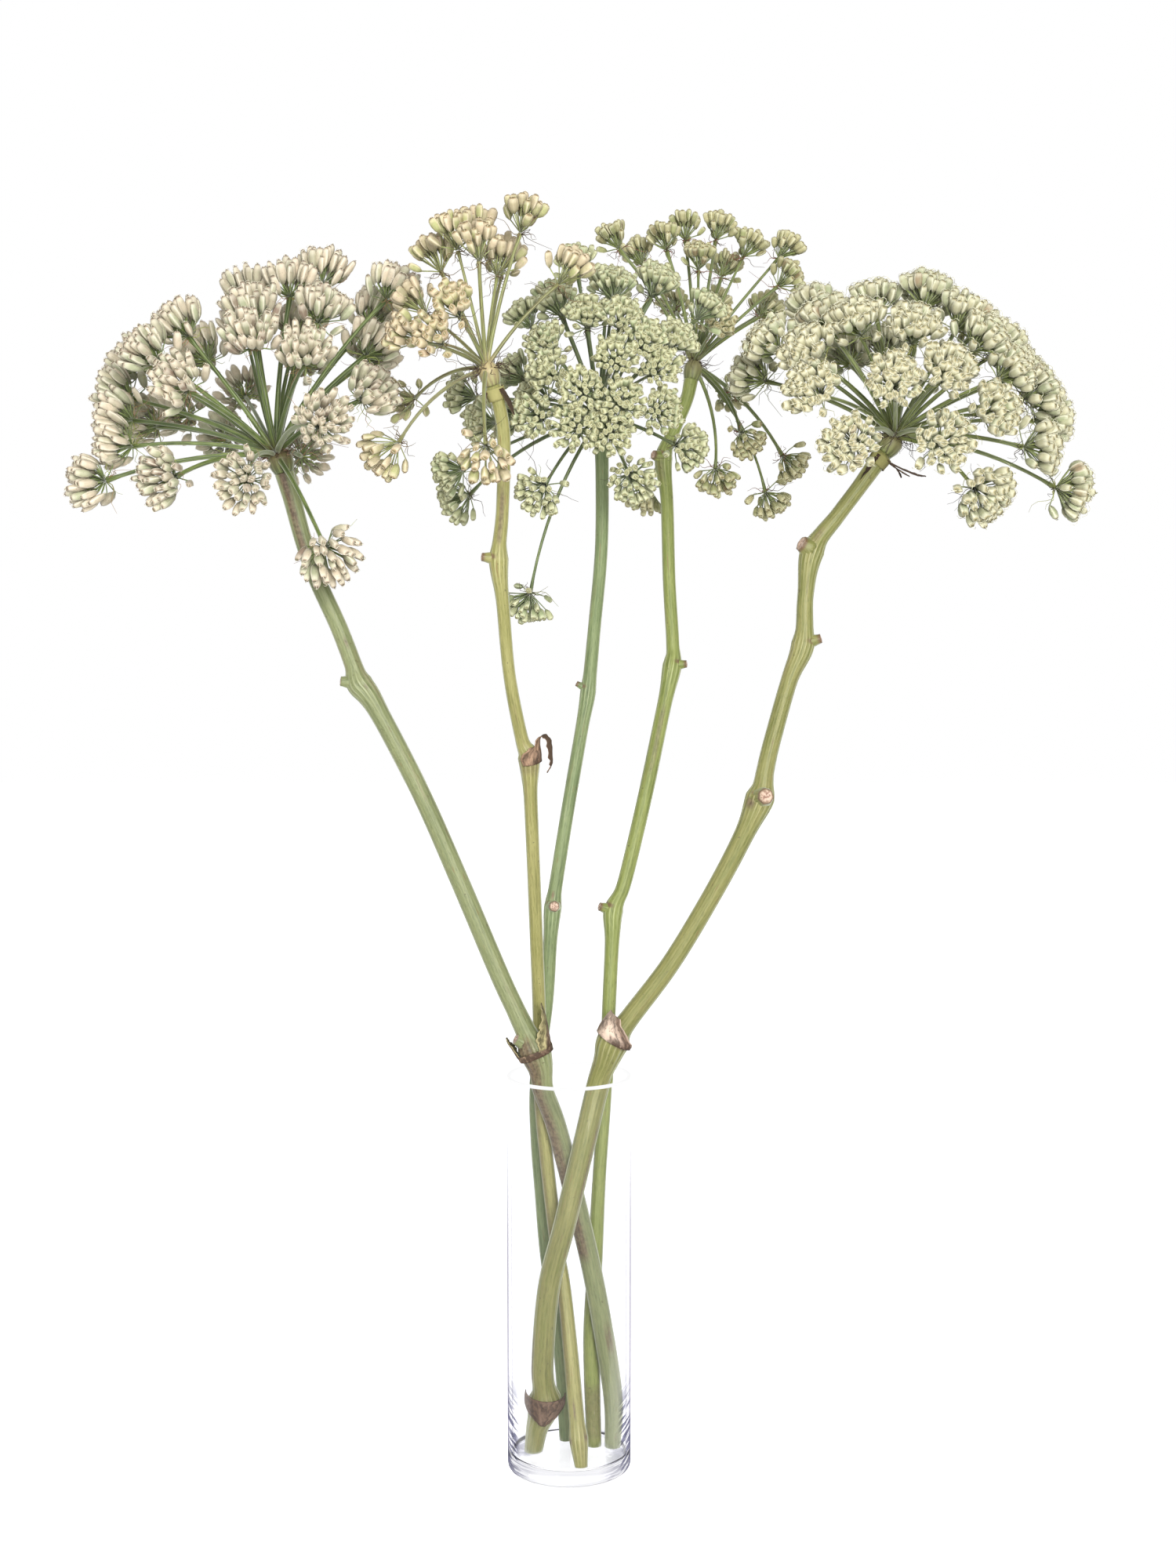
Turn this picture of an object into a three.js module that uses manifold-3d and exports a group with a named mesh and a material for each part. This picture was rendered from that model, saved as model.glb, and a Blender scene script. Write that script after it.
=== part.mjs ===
// Giant fennel: five cut flowering stems with ripe seed heads, standing in a glass cylinder vase.
// Millimetres. +X is right, +Y is away from the viewer, +Z is up.
// The origin is the centre of the vase's underside.
import * as THREE from 'three';
import { mergeVertices } from 'three/addons/utils/BufferGeometryUtils.js';
import { ConvexHull } from 'three/addons/math/ConvexHull.js';
import Module from 'manifold-3d';

const wasm = await Module();
wasm.setup();

// Clearance left between two pieces that touch, and how near two corners are merged
const GAP = 0.35;
const MERGE_NEAR = 1e-4;

// The vase: outer radius and height, wall, thickness of its floor, and how round its edges are
const VASE = {
  radius: 46.7, height: 303, wall: 3, floor: 13, footRound: 5, floorRound: 3, rimRound: 1, sides: 36,
};

// The stems: sides of the faceted rod, how far a joint swells below and above its ridge in mm,
// and in steps of the path, where rings of the rod stand round a joint and how far ahead it looks
const STEM_SIDES = 8;
const SWELL_BELOW = 17;
const SWELL_ABOVE = 7;
const JOINT_STATIONS = [-0.35, 0, 0.18];
const AHEAD = 0.1;
const STUB_SIDES = 6;
const STUB_TAPER = 1.15;

// Each stem's centre line from its cut end on the vase floor up to its hub: [x, y, z, radius].
// joints: [index of the point, how much it swells]
// stubs of cut side branches: [index of the point, [direction], length, radius]
const STEMS = {
  stem_1: {
    colour: 0x86a065,
    path: [
      [33.5, 6, 13.4, 6.4], [34, 4, 48, 7.6], [28, -1, 93, 7.7], [17, -8, 156, 7.4],
      [4.5, -12.5, 212, 7.5], [-9, -20, 268, 7.5], [-18.5, -29, 298, 7.5], [-21, -30, 315, 8],
      [-26, -31, 330, 8.2], [-39, -30, 358, 7.1], [-51, -28, 384, 7.1], [-80, -25, 453, 7],
      [-108, -23, 517, 6.9], [-140, -21, 579, 7.1], [-152.5, -20, 597, 7.5], [-157, -20, 611, 6.5],
      [-167, -21, 638, 6.3], [-182.5, -22, 673, 6.3], [-191.5, -23, 700, 6.3], [-199, -24, 729, 6.5],
      [-204.5, -25, 748.5, 7],
    ],
    joints: [[8, 0.48], [14, 0.3]],
    stubs: [[8, [-0.9, -0.3, 0.5], 3, 4], [14, [-1, -0.2, 0.1], 4, 3.2]],
  },
  stem_2: {
    colour: 0xb2bb76,
    path: [
      [9, -33.5, 13.4, 4.6], [7, -31, 35, 5.8], [4.5, -26, 61, 5.8], [1, -20, 99, 5.6],
      [-4, -10, 143, 5.3], [-9, -5, 172, 5.2], [-14, -5, 214, 5.2], [-19, -7, 263, 5.2],
      [-21.5, -9, 299, 5], [-22, -12, 354, 5], [-23.5, -27, 408, 4.9], [-25.3, -42, 468, 4.8],
      [-27, -54, 520, 5], [-28, -60, 546, 5.6], [-33, -63, 560, 4.8], [-41, -75, 605, 4.4],
      [-45, -87, 655, 4.6], [-47.5, -95, 686, 5.2], [-44.5, -101, 719, 4.5], [-43, -110, 766, 4.6],
      [-46, -115, 789, 4.8], [-50, -118, 802, 5.4],
    ],
    joints: [[1, 0.25], [13, 0.42], [17, 0.34]],
    stubs: [[17, [-1, -0.2, 0.1], 5, 2.6]],
  },
  stem_3: {
    colour: 0x76986c,
    path: [
      [-3, 19, 13.4, 4.8], [-6, 24, 64, 5], [-10, 25, 102, 5], [-18, 25, 157, 5], [-22, 22, 207, 5],
      [-25, 18, 251, 5], [-25, 14, 293, 5.1], [-17, 7, 355, 5.1], [-14, 7, 403, 5.2],
      [-12, 8, 429, 5.4], [-9, 8, 450, 5.1], [-0.5, 9, 503, 5], [9.5, 10, 561, 4.9],
      [14.5, 10, 591, 5.2], [19, 5, 637, 4.8], [24, -3, 694, 4.8], [24.5, -10, 751, 4.9],
      [23.5, -13, 776.5, 5.3],
    ],
    joints: [[9, 0.25], [13, 0.15]],
    stubs: [[9, [0.15, -1, 0.1], 2, 3.4], [13, [-1, -0.1, 0.5], 4, 1.8]],
  },
  stem_4: {
    colour: 0xa6b45c,
    path: [
      [19, 8, 13.4, 5.8], [17.5, 11, 63, 6.4], [17, 12, 103, 6.3], [20, 9, 163, 5.8],
      [23, 11, 222, 5.2], [28, 15, 293, 5.2], [30, 18, 347, 5.3], [32.5, 24, 400, 5.4],
      [33.5, 28, 423, 5.8], [40.5, 31, 439, 5.5], [47, 36, 463, 5.6], [58.5, 47, 511, 5.7],
      [70, 59, 564, 5.6], [79, 69, 607, 5.6], [79.5, 73, 625, 5.1], [77, 81, 672, 5],
      [75.5, 93, 733, 5], [73, 100, 767, 5.4], [81, 104, 788, 5.1], [91, 109, 812, 5.1],
      [94.5, 112, 827.5, 5.6],
    ],
    joints: [[8, 0.32], [13, 0.34], [17, 0.3]],
    stubs: [
      [8, [-1, -0.3, 0.3], 4, 2.8], [13, [1, -0.2, 0.1], 4, 2.6], [17, [-0.8, -0.5, 0.2], 3, 3.2],
    ],
  },
  stem_5: {
    colour: 0xa2b074,
    path: [
      [-27, -3, 13.4, 7], [-24, -8, 33, 8], [-18, -14, 57, 8.6], [-19.5, -20, 87, 8.2],
      [-14.5, -26, 148, 8.2], [-3, -32, 197, 8.2], [11, -32, 257, 8.2], [21.5, -26, 301, 8.2],
      [28.5, -29, 322, 8.3], [33.5, -32, 336, 8.5], [45.5, -33, 353, 7.5], [75, -34, 393, 7.1],
      [104, -35, 442, 7], [125.5, -37, 483.5, 7.3], [139, -38, 515, 7.7], [142.5, -38, 534, 6.6],
      [147, -37, 554, 6.3], [159.5, -35, 599, 6.1], [169.5, -34, 626, 6.7], [171, -33, 660, 5.8],
      [176, -32, 693, 6.8], [194, -31, 718, 5.7], [209, -30.5, 738, 5.7], [226, -30, 762, 6.6],
    ],
    joints: [[2, 0.5], [9, 0.46], [14, 0.4], [18, 0.28], [20, 0.3]],
    stubs: [
      [14, [0.25, -1, 0.15], 3, 5], [18, [1, -0.2, 0.3], 5, 3], [20, [-0.9, -0.4, 0.5], 2, 5],
    ],
  },
};

// Each seed head. hub: where its rays meet. axis: the way the head faces. reach: usual distance from
// the hub to the middle of an umbellet. umbellet: from the end of a ray to its seeds' tips.
// fan: how far its seeds lean out, in degrees. seeds: how many are modelled on each umbellet.
// rays: where the middle of each umbellet that the viewer sees stands from the hub, [right, up, toward],
// with toward from -1 to 1 as the share of what is left of the reach that comes towards the viewer.
// back: how many more rays fill the side that faces away.
const UMBELS = {
  umbel_1: {
    colour: 0xc9bd9f,
    hub: [-210.5, -25, 762],
    axis: [-0.35, 0.1, 0.93],
    reach: 158,
    umbellet: 32,
    fan: 50,
    seeds: 12,
    rays: [
      [-136, -23, 0.3], [-69, -24, 0.65], [-6, -27, 0.75], [50, -80, 0.6], [-119, 6, 0.1],
      [-120, 28, 0], [-123, 47, -0.2], [-88, 72, 0.45], [-54, 43, 0.75], [-114, 72, -0.4],
      [-69, 96, 0.2], [-66, 83, -0.5], [-26, 128, -0.4], [-13, 109, 0.2], [-5, 81, 0.6],
      [12, 130, -0.1], [37, 139, -0.3], [42, 105, 0.35], [91, 124, 0], [37, 67, 0.65],
      [75, 85, -0.2], [72, 111, -0.6], [81, 40, 0.5], [52, 13, 0.9], [-110, 27, -0.5],
      [-89, 38, -0.75], [-60, 20, -0.85], [-44, 58, -0.9], [9, 104, -0.6], [13, 3, -0.5],
    ],
    back: 3,
  },
  umbel_2: {
    colour: 0xaf9f7c,
    hub: [-54.4, -120, 814],
    axis: [-0.15, -0.2, 0.97],
    reach: 118,
    umbellet: 30,
    fan: 36,
    seeds: 11,
    rays: [
      [28, 104, 0.2], [-22, 92, 0.2], [-4, 82, 0.4], [9, 79, -0.2], [-38, 80, -0.2],
      [-18, 33, 0.65], [-32, 11, 0.65], [-55, 19, 0.3], [60, 68, 0], [-71, -62, 0.2], [2, -68, 0.6],
      [-64, -18, -0.8], [-54, 49, -0.3], [-8, 101, -0.5],
    ],
    back: 1,
  },
  umbel_3: {
    colour: 0xa5b48c,
    hub: [22.8, -15, 789.5],
    axis: [-0.1, -0.6, 0.78],
    reach: 128,
    umbellet: 26,
    fan: 48,
    seeds: 11,
    rays: [
      [11, 94, 0.3], [43, 97, 0.1], [-10, 66, 0.65], [-32, 84, 0.1], [-58, 77, -0.3], [80, 79, 0],
      [15, 63, 0.75], [-40, 49, 0.5], [31, 45, 0.85], [-37, 25, 0.65], [11, 32, 0.88],
      [-51, 16, 0.1], [-14, 8, 0.95], [16, -1, 0.95], [-47, -8, 0.75], [-18, -18, 0.93],
      [42, 26, 0.8], [7, -21, 0.92], [-104, 16, -0.1], [-89, -7, 0.2], [-112, -44, 0.2],
      [-108, -63, -0.6], [-46, -61, 0.5], [-56, -141, 0], [24, -53, 0.6], [65, -28, 0.4],
      [43, -5, 0.8], [57, 53, 0.4], [-66, 35, -0.4], [-70, 4, -0.6],
    ],
    back: 4,
  },
  umbel_4: {
    colour: 0x969b73,
    hub: [96.5, 115, 841],
    axis: [0.35, 0.45, 0.82],
    reach: 120,
    umbellet: 25,
    fan: 40,
    seeds: 11,
    rays: [
      [-66, 100, -0.3], [-45, 93, -0.6], [-24, 102, -0.2], [-7, 111, -0.4], [20, 110, -0.3],
      [3, 82, 0.3], [28, 84, -0.6], [45, 96, -0.2], [75, 92, -0.1], [75, 67, 0.2], [65, 47, -0.4],
      [34, -22, -0.6], [42, -66, 0.4], [80, -82, 0.1], [64, -112, 0], [19, -96, 0.35],
      [-39, -108, -0.4], [-13, 56, -0.7], [15, 23, 0.6],
    ],
    back: 2,
  },
  umbel_5: {
    colour: 0xc8cda0,
    hub: [234, -30, 774.5],
    axis: [0.2, 0, 0.98],
    reach: 140,
    umbellet: 31,
    fan: 50,
    seeds: 12,
    rays: [
      [-98, 67, 0.25], [-73, 56, 0.6], [-72, 24, 0.85], [-56, 89, 0], [-36, 80, 0.45],
      [-14, 103, -0.2], [3, 71, 0.6], [25, 108, -0.1], [-18, 28, 0.88], [21, 36, 0.8], [49, 88, 0.2],
      [60, 69, 0.35], [84, 69, -0.1], [82, 45, 0.35], [101, 50, -0.3], [59, 11, 0.7], [108, 30, 0.1],
      [119, 13, -0.1], [106, -11, 0.25], [-47, -14, 0.85], [17, -14, 0.9], [57, -48, 0.6],
      [133, -42, 0], [-30, 68, -0.6], [-104, 49, -0.5], [1, 73, -0.7],
    ],
    back: 4,
  },
};

// The hub that the rays leave: height above the stem's end, and share of the stem's radius there
const HUB = [[0, 1], [5, 1.3], [11, 1.35], [16, 0.8]];

// Umbellets: how much wider they fan out where a ray hangs straight down, in degrees, how deep the space
// between the seeds goes, and how uneven they are. Then as shares of an umbellet's length: how far
// its middle is from the end of its ray, and the radius of a ball round that middle that holds it.
const HANGING_FAN = 20;
const SEED_GAP_DEPTH = 0.6;
const SEED_JITTER = 0.08;
const UMBELLET_MIDDLE = 0.57;
const UMBELLET_GIRTH = 0.8;
const GOLDEN_ANGLE = Math.PI * (3 - Math.sqrt(5));

// Rays: three-sided, with the radius at the hub and at the umbellet. They bow by a share of their length,
// and more where they hang down. An umbellet faces along its ray, and by a share along the head's axis.
const RAY_SIDES = 3;
const RAY_ROOT = 2.1;
const RAY_TIP = 1.4;
const RAY_BOW = 0.05;
const RAY_DROOP = 0.12;
const RAY_START = 2;
const AXIS_SHARE = 0.2;

// Rays on the far side: directions tried, how far they lean from the axis, their share of the reach,
// and the room they keep: umbellet lengths to the head's own umbellets, mm to whatever else is near.
// A nearer umbellet hides them from the viewer: they stand behind it, within this share of its length.
const VIEWER = [14, -1608, 662];
const BACK_TRIES = 900;
const BACK_LEAN = THREE.MathUtils.degToRad(96);
const BACK_REACH = 0.92;
const BACK_ROOM = 1.4;
const BACK_HIDDEN = 0.3;
const OTHER_ROOM = 5;
const STEM_ROOM = 8;
const STEM_POINTS = 60;

// Dry brown leaf tissue: how thick it is, and the degrees of its bend that one facet takes
const DRY_THICK = 1;
const DRY_FACET = 42;

// Dry sheaths that cling to a stem. at: index of the path point. sheets: each a row of
// [mm along the stem, radius, first angle, last angle], 0 degrees right and -90 to the viewer.
const SHEATHS = {
  sheath_1: {
    stem: 'stem_1',
    at: 8,
    colour: 0x8f7350,
    sheets: [
      [[-7, 13.2, -215, 5], [-2, 14.1, -215, 5]],
      [[-3, 14, -210, -140], [4, 15, -212, -145], [10, 16.2, -205, -152], [14, 15.8, -192, -165]],
      [[-3, 14, -80, -8], [5, 15, -74, 8], [12, 16.6, -56, 20], [20, 18, -34, 16], [28, 18.4, -16, 6]],
    ],
  },
  sheath_2: {
    stem: 'stem_2',
    at: 13,
    colour: 0x86603c,
    sheets: [
      [[-4, 9.2, -125, -5], [3, 9.6, -125, 5], [9, 9.6, -80, 0]],
      [[4, 9.4, -60, 0], [13, 11, -50, -12], [16, 16, -46, -16], [10, 20, -46, -20],
        [-4, 19, -44, -26], [-11, 14, -42, -28]],
    ],
  },
  sheath_5: {
    stem: 'stem_5',
    at: 9,
    colour: 0xb08d74,
    sheets: [
      [[0, 14.6, -182, -18], [6, 14.8, -190, -38], [13, 14, -192, -84], [19, 13, -182, -112]],
    ],
  },
  sheath_foot: {
    stem: 'stem_5',
    at: 2,
    colour: 0x7a5a3c,
    sheets: [
      [[-14, 13.6, -104, -76], [-7, 14.9, -135, -48], [1, 15.5, -172, -8], [8, 15, -186, 6]],
    ],
  },
};

// Dry bracts under a hub: a collar round the stem's end with strips that hang from it.
// Collar: [mm along the stem, mm more than its radius]. Strips start at this height.
// Strips: [first angle, last angle, mm up along the stem to the tip, how far the tip stands out].
// Rows of a strip: share of the way to its tip, share of how far that stands out, share it narrows.
const BRACT_COLLAR = [[-10, 0], [-1.5, 0.6]];
const BRACT_COLLAR_ARC = [-170, 150];
const BRACT_START = -3;
const BRACT_ROWS = [[0, 0, 0], [0.2, 0.4, 0.1], [0.6, 0.8, 0.3], [1, 1, 0.75]];
const BRACTS = {
  bracts_2: {
    stem: 'stem_2',
    colour: 0x7d5a3e,
    strips: [[-165, -130, -20, 7], [-60, -25, -22, 5], [60, 95, -14, 8]],
  },
  bracts_5: {
    stem: 'stem_5',
    colour: 0x6d4c35,
    strips: [
      [-165, -140, -16, 8], [-118, -96, -26, 3], [-52, -30, -9, 18], [-26, -6, 3, 28], [8, 28, -1, 20],
      [70, 95, -20, 10],
    ],
  },
};

// Vectors and seeded chance

const ALONG_X = 0.8;

const vec = (p) => new THREE.Vector3(p[0], p[1], p[2]);

function seededRandom(seed) {
  let state = seed >>> 0;
  return () => {
    state = (state + 0x6d2b79f5) >>> 0;
    let mixed = Math.imul(state ^ (state >>> 15), state | 1);
    mixed ^= mixed + Math.imul(mixed ^ (mixed >>> 7), mixed | 61);
    return ((mixed ^ (mixed >>> 14)) >>> 0) / 4294967296;
  };
}

// Two directions across a line: side is near +X, or near +Y where the line itself runs along X
function acrossFrame(along) {
  const runsAlongX = Math.abs(along.x) >= ALONG_X;
  const seed = runsAlongX ? new THREE.Vector3(0, 1, 0) : new THREE.Vector3(1, 0, 0);
  const side = seed.addScaledVector(along, -seed.dot(along)).normalize();
  const front = new THREE.Vector3().crossVectors(along, side);
  return { side, front };
}

function around(centre, frame, radius, angle) {
  return centre.clone()
    .addScaledVector(frame.side, radius * Math.cos(angle))
    .addScaledVector(frame.front, radius * Math.sin(angle));
}

// Closed meshes and their solids

function geometryOf(triangles) {
  const flat = [];
  for (const corner of triangles) {
    flat.push(corner.x, corner.y, corner.z);
  }
  const geometry = new THREE.BufferGeometry();
  geometry.setAttribute('position', new THREE.Float32BufferAttribute(flat, 3));
  return geometry;
}

function solidOf(geometry) {
  const bare = geometry.clone();
  bare.deleteAttribute('normal');
  bare.deleteAttribute('uv');
  const merged = mergeVertices(bare, MERGE_NEAR);
  return new wasm.Manifold(new wasm.Mesh({
    numProp: 3,
    vertProperties: new Float32Array(merged.attributes.position.array),
    triVerts: new Uint32Array(merged.index.array),
  }));
}

function joined(solids) {
  return solids.reduce((whole, next) => whole.add(next));
}

// Keeps the largest connected surface: a sealed hollow is filled and a loose scrap is dropped
function oneBody(solid) {
  const mesh = solid.getMesh();
  const points = mesh.vertProperties;
  const corners = mesh.triVerts;
  const parent = Array.from({ length: points.length / 3 }, (_, i) => i);
  const root = (i) => {
    let at = i;
    while (parent[at] !== at) {
      parent[at] = parent[parent[at]];
      at = parent[at];
    }
    return at;
  };
  for (let i = 0; i < corners.length; i += 3) {
    parent[root(corners[i + 1])] = root(corners[i]);
    parent[root(corners[i + 2])] = root(corners[i]);
  }
  const counts = new Map();
  for (const corner of corners) {
    const key = root(corner);
    counts.set(key, (counts.get(key) || 0) + 1);
  }
  const largest = [...counts].sort((a, b) => b[1] - a[1])[0][0];
  const kept = [];
  for (let i = 0; i < corners.length; i += 3) {
    if (root(corners[i]) === largest) {
      kept.push(corners[i], corners[i + 1], corners[i + 2]);
    }
  }
  const geometry = new THREE.BufferGeometry();
  geometry.setAttribute('position', new THREE.Float32BufferAttribute(new Float32Array(points), 3));
  geometry.setIndex(kept);
  return geometry.toNonIndexed();
}

function piece(name, geometry, colour, roughness = 0.75) {
  const material = new THREE.MeshStandardMaterial({ color: colour, roughness, metalness: 0 });
  const mesh = new THREE.Mesh(geometry, material);
  mesh.name = name;
  return mesh;
}

// The vase

function makeVase() {
  const { radius, height, wall, floor, footRound, floorRound, rimRound, sides } = VASE;
  const inner = radius - wall;
  const slant = footRound * (1 - Math.SQRT1_2);
  const profile = [
    [0, 0], [radius - footRound, 0], [radius - slant, slant], [radius, footRound],
    [radius, height - rimRound], [radius - rimRound, height], [inner + rimRound, height],
    [inner, height - rimRound], [inner, floor + floorRound], [inner - floorRound, floor], [0, floor],
  ].map(([x, y]) => new THREE.Vector2(x, y));
  const geometry = new THREE.LatheGeometry(profile, sides).rotateX(Math.PI / 2);
  const vase = piece('vase', geometry, 0xe4ebee, 0.05);
  vase.material.transparent = true;
  vase.material.opacity = 0.35;
  return vase;
}

// The stems

function stemCurve(path) {
  return new THREE.CatmullRomCurve3(path.map(vec), false, 'catmullrom', 0.5);
}

function stemRadius(stem, place) {
  const below = Math.min(Math.floor(place), stem.path.length - 2);
  const share = place - below;
  return stem.path[below][3] * (1 - share) + stem.path[below + 1][3] * share;
}

function stemStations(stem) {
  const last = stem.path.length - 1;
  const places = new Set();
  for (let i = 0; i <= last; i += 1) {
    places.add(i);
  }
  for (const [index] of stem.joints) {
    for (const shift of JOINT_STATIONS) {
      places.add(index + shift);
    }
  }
  return [...places].sort((a, b) => a - b);
}

function swelling(stem, curve, centre) {
  let factor = 1;
  for (const [index, swell] of stem.joints) {
    const joint = vec(stem.path[index]);
    const next = curve.getPoint((index + AHEAD) / (stem.path.length - 1)).sub(joint).normalize();
    const along = centre.clone().sub(joint).dot(next);
    const width = along < 0 ? SWELL_BELOW : SWELL_ABOVE;
    const far = centre.distanceTo(joint) / width;
    factor += swell * Math.exp(-far * far);
  }
  return factor;
}

// A closed rod along a curve, its rings moved from a plain cylinder's
function rodGeometry(centres, tangents, radii, sides) {
  const rows = centres.length - 1;
  const geometry = new THREE.CylinderGeometry(1, 1, rows, sides, rows);
  const position = geometry.attributes.position;
  for (let i = 0; i < position.count; i += 1) {
    const row = Math.round(position.getY(i) + rows / 2);
    const x = position.getX(i);
    const z = position.getZ(i);
    const radius = radii[row] * Math.hypot(x, z);
    const moved = around(centres[row], acrossFrame(tangents[row]), radius, Math.atan2(-z, x));
    position.setXYZ(i, moved.x, moved.y, moved.z);
  }
  return geometry;
}

function stubSolid(stem, [index, way, length, radius]) {
  const centre = vec(stem.path[index]);
  const along = vec(way).normalize();
  const swell = 1 + stem.joints.find((joint) => joint[0] === index)[1];
  const reach = stem.path[index][3] * swell + length;
  const centres = [centre, centre.clone().addScaledVector(along, reach)];
  return solidOf(rodGeometry(centres, [along, along], [radius * STUB_TAPER, radius], STUB_SIDES));
}

function makeStem(name) {
  const stem = STEMS[name];
  const curve = stemCurve(stem.path);
  const last = stem.path.length - 1;
  const places = stemStations(stem);
  const centres = places.map((place) => curve.getPoint(place / last));
  const tangents = places.map((place) => curve.getTangent(place / last));
  tangents[0].set(0, 0, 1);
  const radii = places.map((place, i) => stemRadius(stem, place) * swelling(stem, curve, centres[i]));
  const rod = solidOf(rodGeometry(centres, tangents, radii, STEM_SIDES));
  const stubs = stem.stubs.map((stub) => stubSolid(stem, stub));
  return piece(name, oneBody(joined([rod, ...stubs])), stem.colour);
}

// Dry sheaths and bracts

// The far face of a sheet lies one thickness to the side of the way its rows run
function farFace(rows, index) {
  const [height, radius] = rows[index];
  const before = rows[Math.max(index - 1, 0)];
  const after = rows[Math.min(index + 1, rows.length - 1)];
  const rise = after[0] - before[0];
  const spread = after[1] - before[1];
  const shift = DRY_THICK / Math.hypot(rise, spread);
  return [height + spread * shift, radius - rise * shift];
}

// A thin closed sheet bent round a line, through rows of [mm along, radius, two angles]
function wrapSolid(origin, along, rows) {
  const frame = acrossFrame(along);
  const steps = rows.length - 1;
  const widest = Math.max(...rows.map(([, , from, to]) => to - from));
  const facets = Math.ceil(widest / DRY_FACET);
  const geometry = new THREE.BoxGeometry(1, 1, steps, facets, 1, steps);
  const position = geometry.attributes.position;
  for (let i = 0; i < position.count; i += 1) {
    const index = Math.round(position.getZ(i) + steps / 2);
    const [, , from, to] = rows[index];
    const [height, radius] = position.getY(i) > 0 ? farFace(rows, index) : rows[index];
    const angle = THREE.MathUtils.degToRad(from + (to - from) * (position.getX(i) + 0.5));
    const centre = origin.clone().addScaledVector(along, height);
    const moved = around(centre, frame, radius, angle);
    position.setXYZ(i, moved.x, moved.y, moved.z);
  }
  return solidOf(geometry);
}

function makeSheath(name) {
  const { stem, at, colour, sheets } = SHEATHS[name];
  const { path } = STEMS[stem];
  const along = stemCurve(path).getTangent(at / (path.length - 1));
  const solids = sheets.map((rows) => wrapSolid(vec(path[at]), along, rows));
  return piece(name, oneBody(joined(solids)), colour, 0.9);
}

function makeBracts(name) {
  const { stem, colour, strips } = BRACTS[name];
  const { path } = STEMS[stem];
  const end = path[path.length - 1];
  const along = vec(end).sub(vec(path[path.length - 2])).normalize();
  const radius = end[3] + GAP + DRY_THICK;
  const collar = BRACT_COLLAR.map(([height, more]) => [height, radius + more, ...BRACT_COLLAR_ARC]);
  const hanging = strips.map(([from, to, tip, out]) => BRACT_ROWS.map(([way, stand, narrow]) => {
    const inset = (narrow * (to - from)) / 2;
    const height = BRACT_START + (tip - BRACT_START) * way;
    return [height, radius + out * stand, from + inset, to - inset];
  }));
  const solids = [collar, ...hanging].map((rows) => wrapSolid(vec(end), along, rows));
  return piece(name, oneBody(joined(solids)), colour, 0.9);
}

// The seed heads

function hubSolid(stem) {
  const end = stem.path[stem.path.length - 1];
  const below = stem.path[stem.path.length - 2];
  const up = vec(end).sub(vec(below)).normalize();
  const centres = HUB.map(([height]) => vec(end).addScaledVector(up, GAP + height));
  const radii = HUB.map(([, share]) => end[3] * share);
  return solidOf(rodGeometry(centres, centres.map(() => up), radii, STEM_SIDES));
}

// Where the middle of an umbellet stands from its hub, from where the viewer sees it and the reach
function placeOf(umbel, [right, up, toward]) {
  const left = umbel.reach ** 2 - right ** 2 - up ** 2;
  return new THREE.Vector3(right, -toward * Math.sqrt(Math.max(left, 0)), up);
}

function placesSeen(umbel) {
  return umbel.rays.map((ray) => placeOf(umbel, ray));
}

// The umbellets that the viewer sees of some heads, as balls: [middle, radius]
function umbelletBalls(names) {
  return names.flatMap((name) => {
    const { hub, umbellet } = UMBELS[name];
    return placesSeen(UMBELS[name]).map((place) => [
      place.add(vec(hub)), umbellet * UMBELLET_GIRTH,
    ]);
  });
}

// What stands near a head: the other heads' umbellets, the middles of their rays, and all stems
function ballsOutside(name) {
  const others = Object.keys(UMBELS).filter((other) => other !== name);
  const rays = others.flatMap((other) => placesSeen(UMBELS[other]).map((place) => [
    place.divideScalar(2).add(vec(UMBELS[other].hub)), RAY_ROOT,
  ]));
  const stems = Object.values(STEMS).flatMap(({ path }) => (
    stemCurve(path).getPoints(STEM_POINTS).map((point) => [point, STEM_ROOM])
  ));
  return [...umbelletBalls(others), ...rays, ...stems];
}

function isClear(middle, radius, balls) {
  return balls.every(([point, other]) => point.distanceTo(middle) >= radius + other + OTHER_ROOM);
}

function isHidden(middle, balls) {
  const sight = middle.clone().sub(vec(VIEWER));
  return balls.some(([point, radius]) => {
    const near = point.clone().sub(vec(VIEWER));
    const beside = near.clone().cross(sight).length() / sight.length();
    return near.length() < sight.length() && beside < (BACK_HIDDEN / UMBELLET_GIRTH) * radius;
  });
}

// The rays that face away, spread round the head's axis by the golden angle where there is room
function placesBehind(name) {
  const umbel = UMBELS[name];
  const axis = vec(umbel.axis).normalize();
  const frame = acrossFrame(axis);
  const outside = ballsOutside(name);
  const fronts = umbelletBalls(Object.keys(UMBELS));
  const taken = placesSeen(umbel);
  const found = [];
  for (let i = 0; i < BACK_TRIES && found.length < umbel.back; i += 1) {
    const lean = Math.acos(1 - ((i + 0.5) / BACK_TRIES) * (1 - Math.cos(BACK_LEAN)));
    const ring = around(new THREE.Vector3(), frame, Math.sin(lean), i * GOLDEN_ANGLE);
    const place = ring.addScaledVector(axis, Math.cos(lean)).multiplyScalar(umbel.reach * BACK_REACH);
    const middle = place.clone().add(vec(umbel.hub));
    const isFree = taken.every((other) => other.distanceTo(place) >= BACK_ROOM * umbel.umbellet);
    if (place.y > 0 && isFree && isHidden(middle, fronts)
        && isClear(middle, umbel.umbellet * UMBELLET_GIRTH, outside)) {
      found.push(place);
      taken.push(place);
    }
  }
  return found;
}

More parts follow.
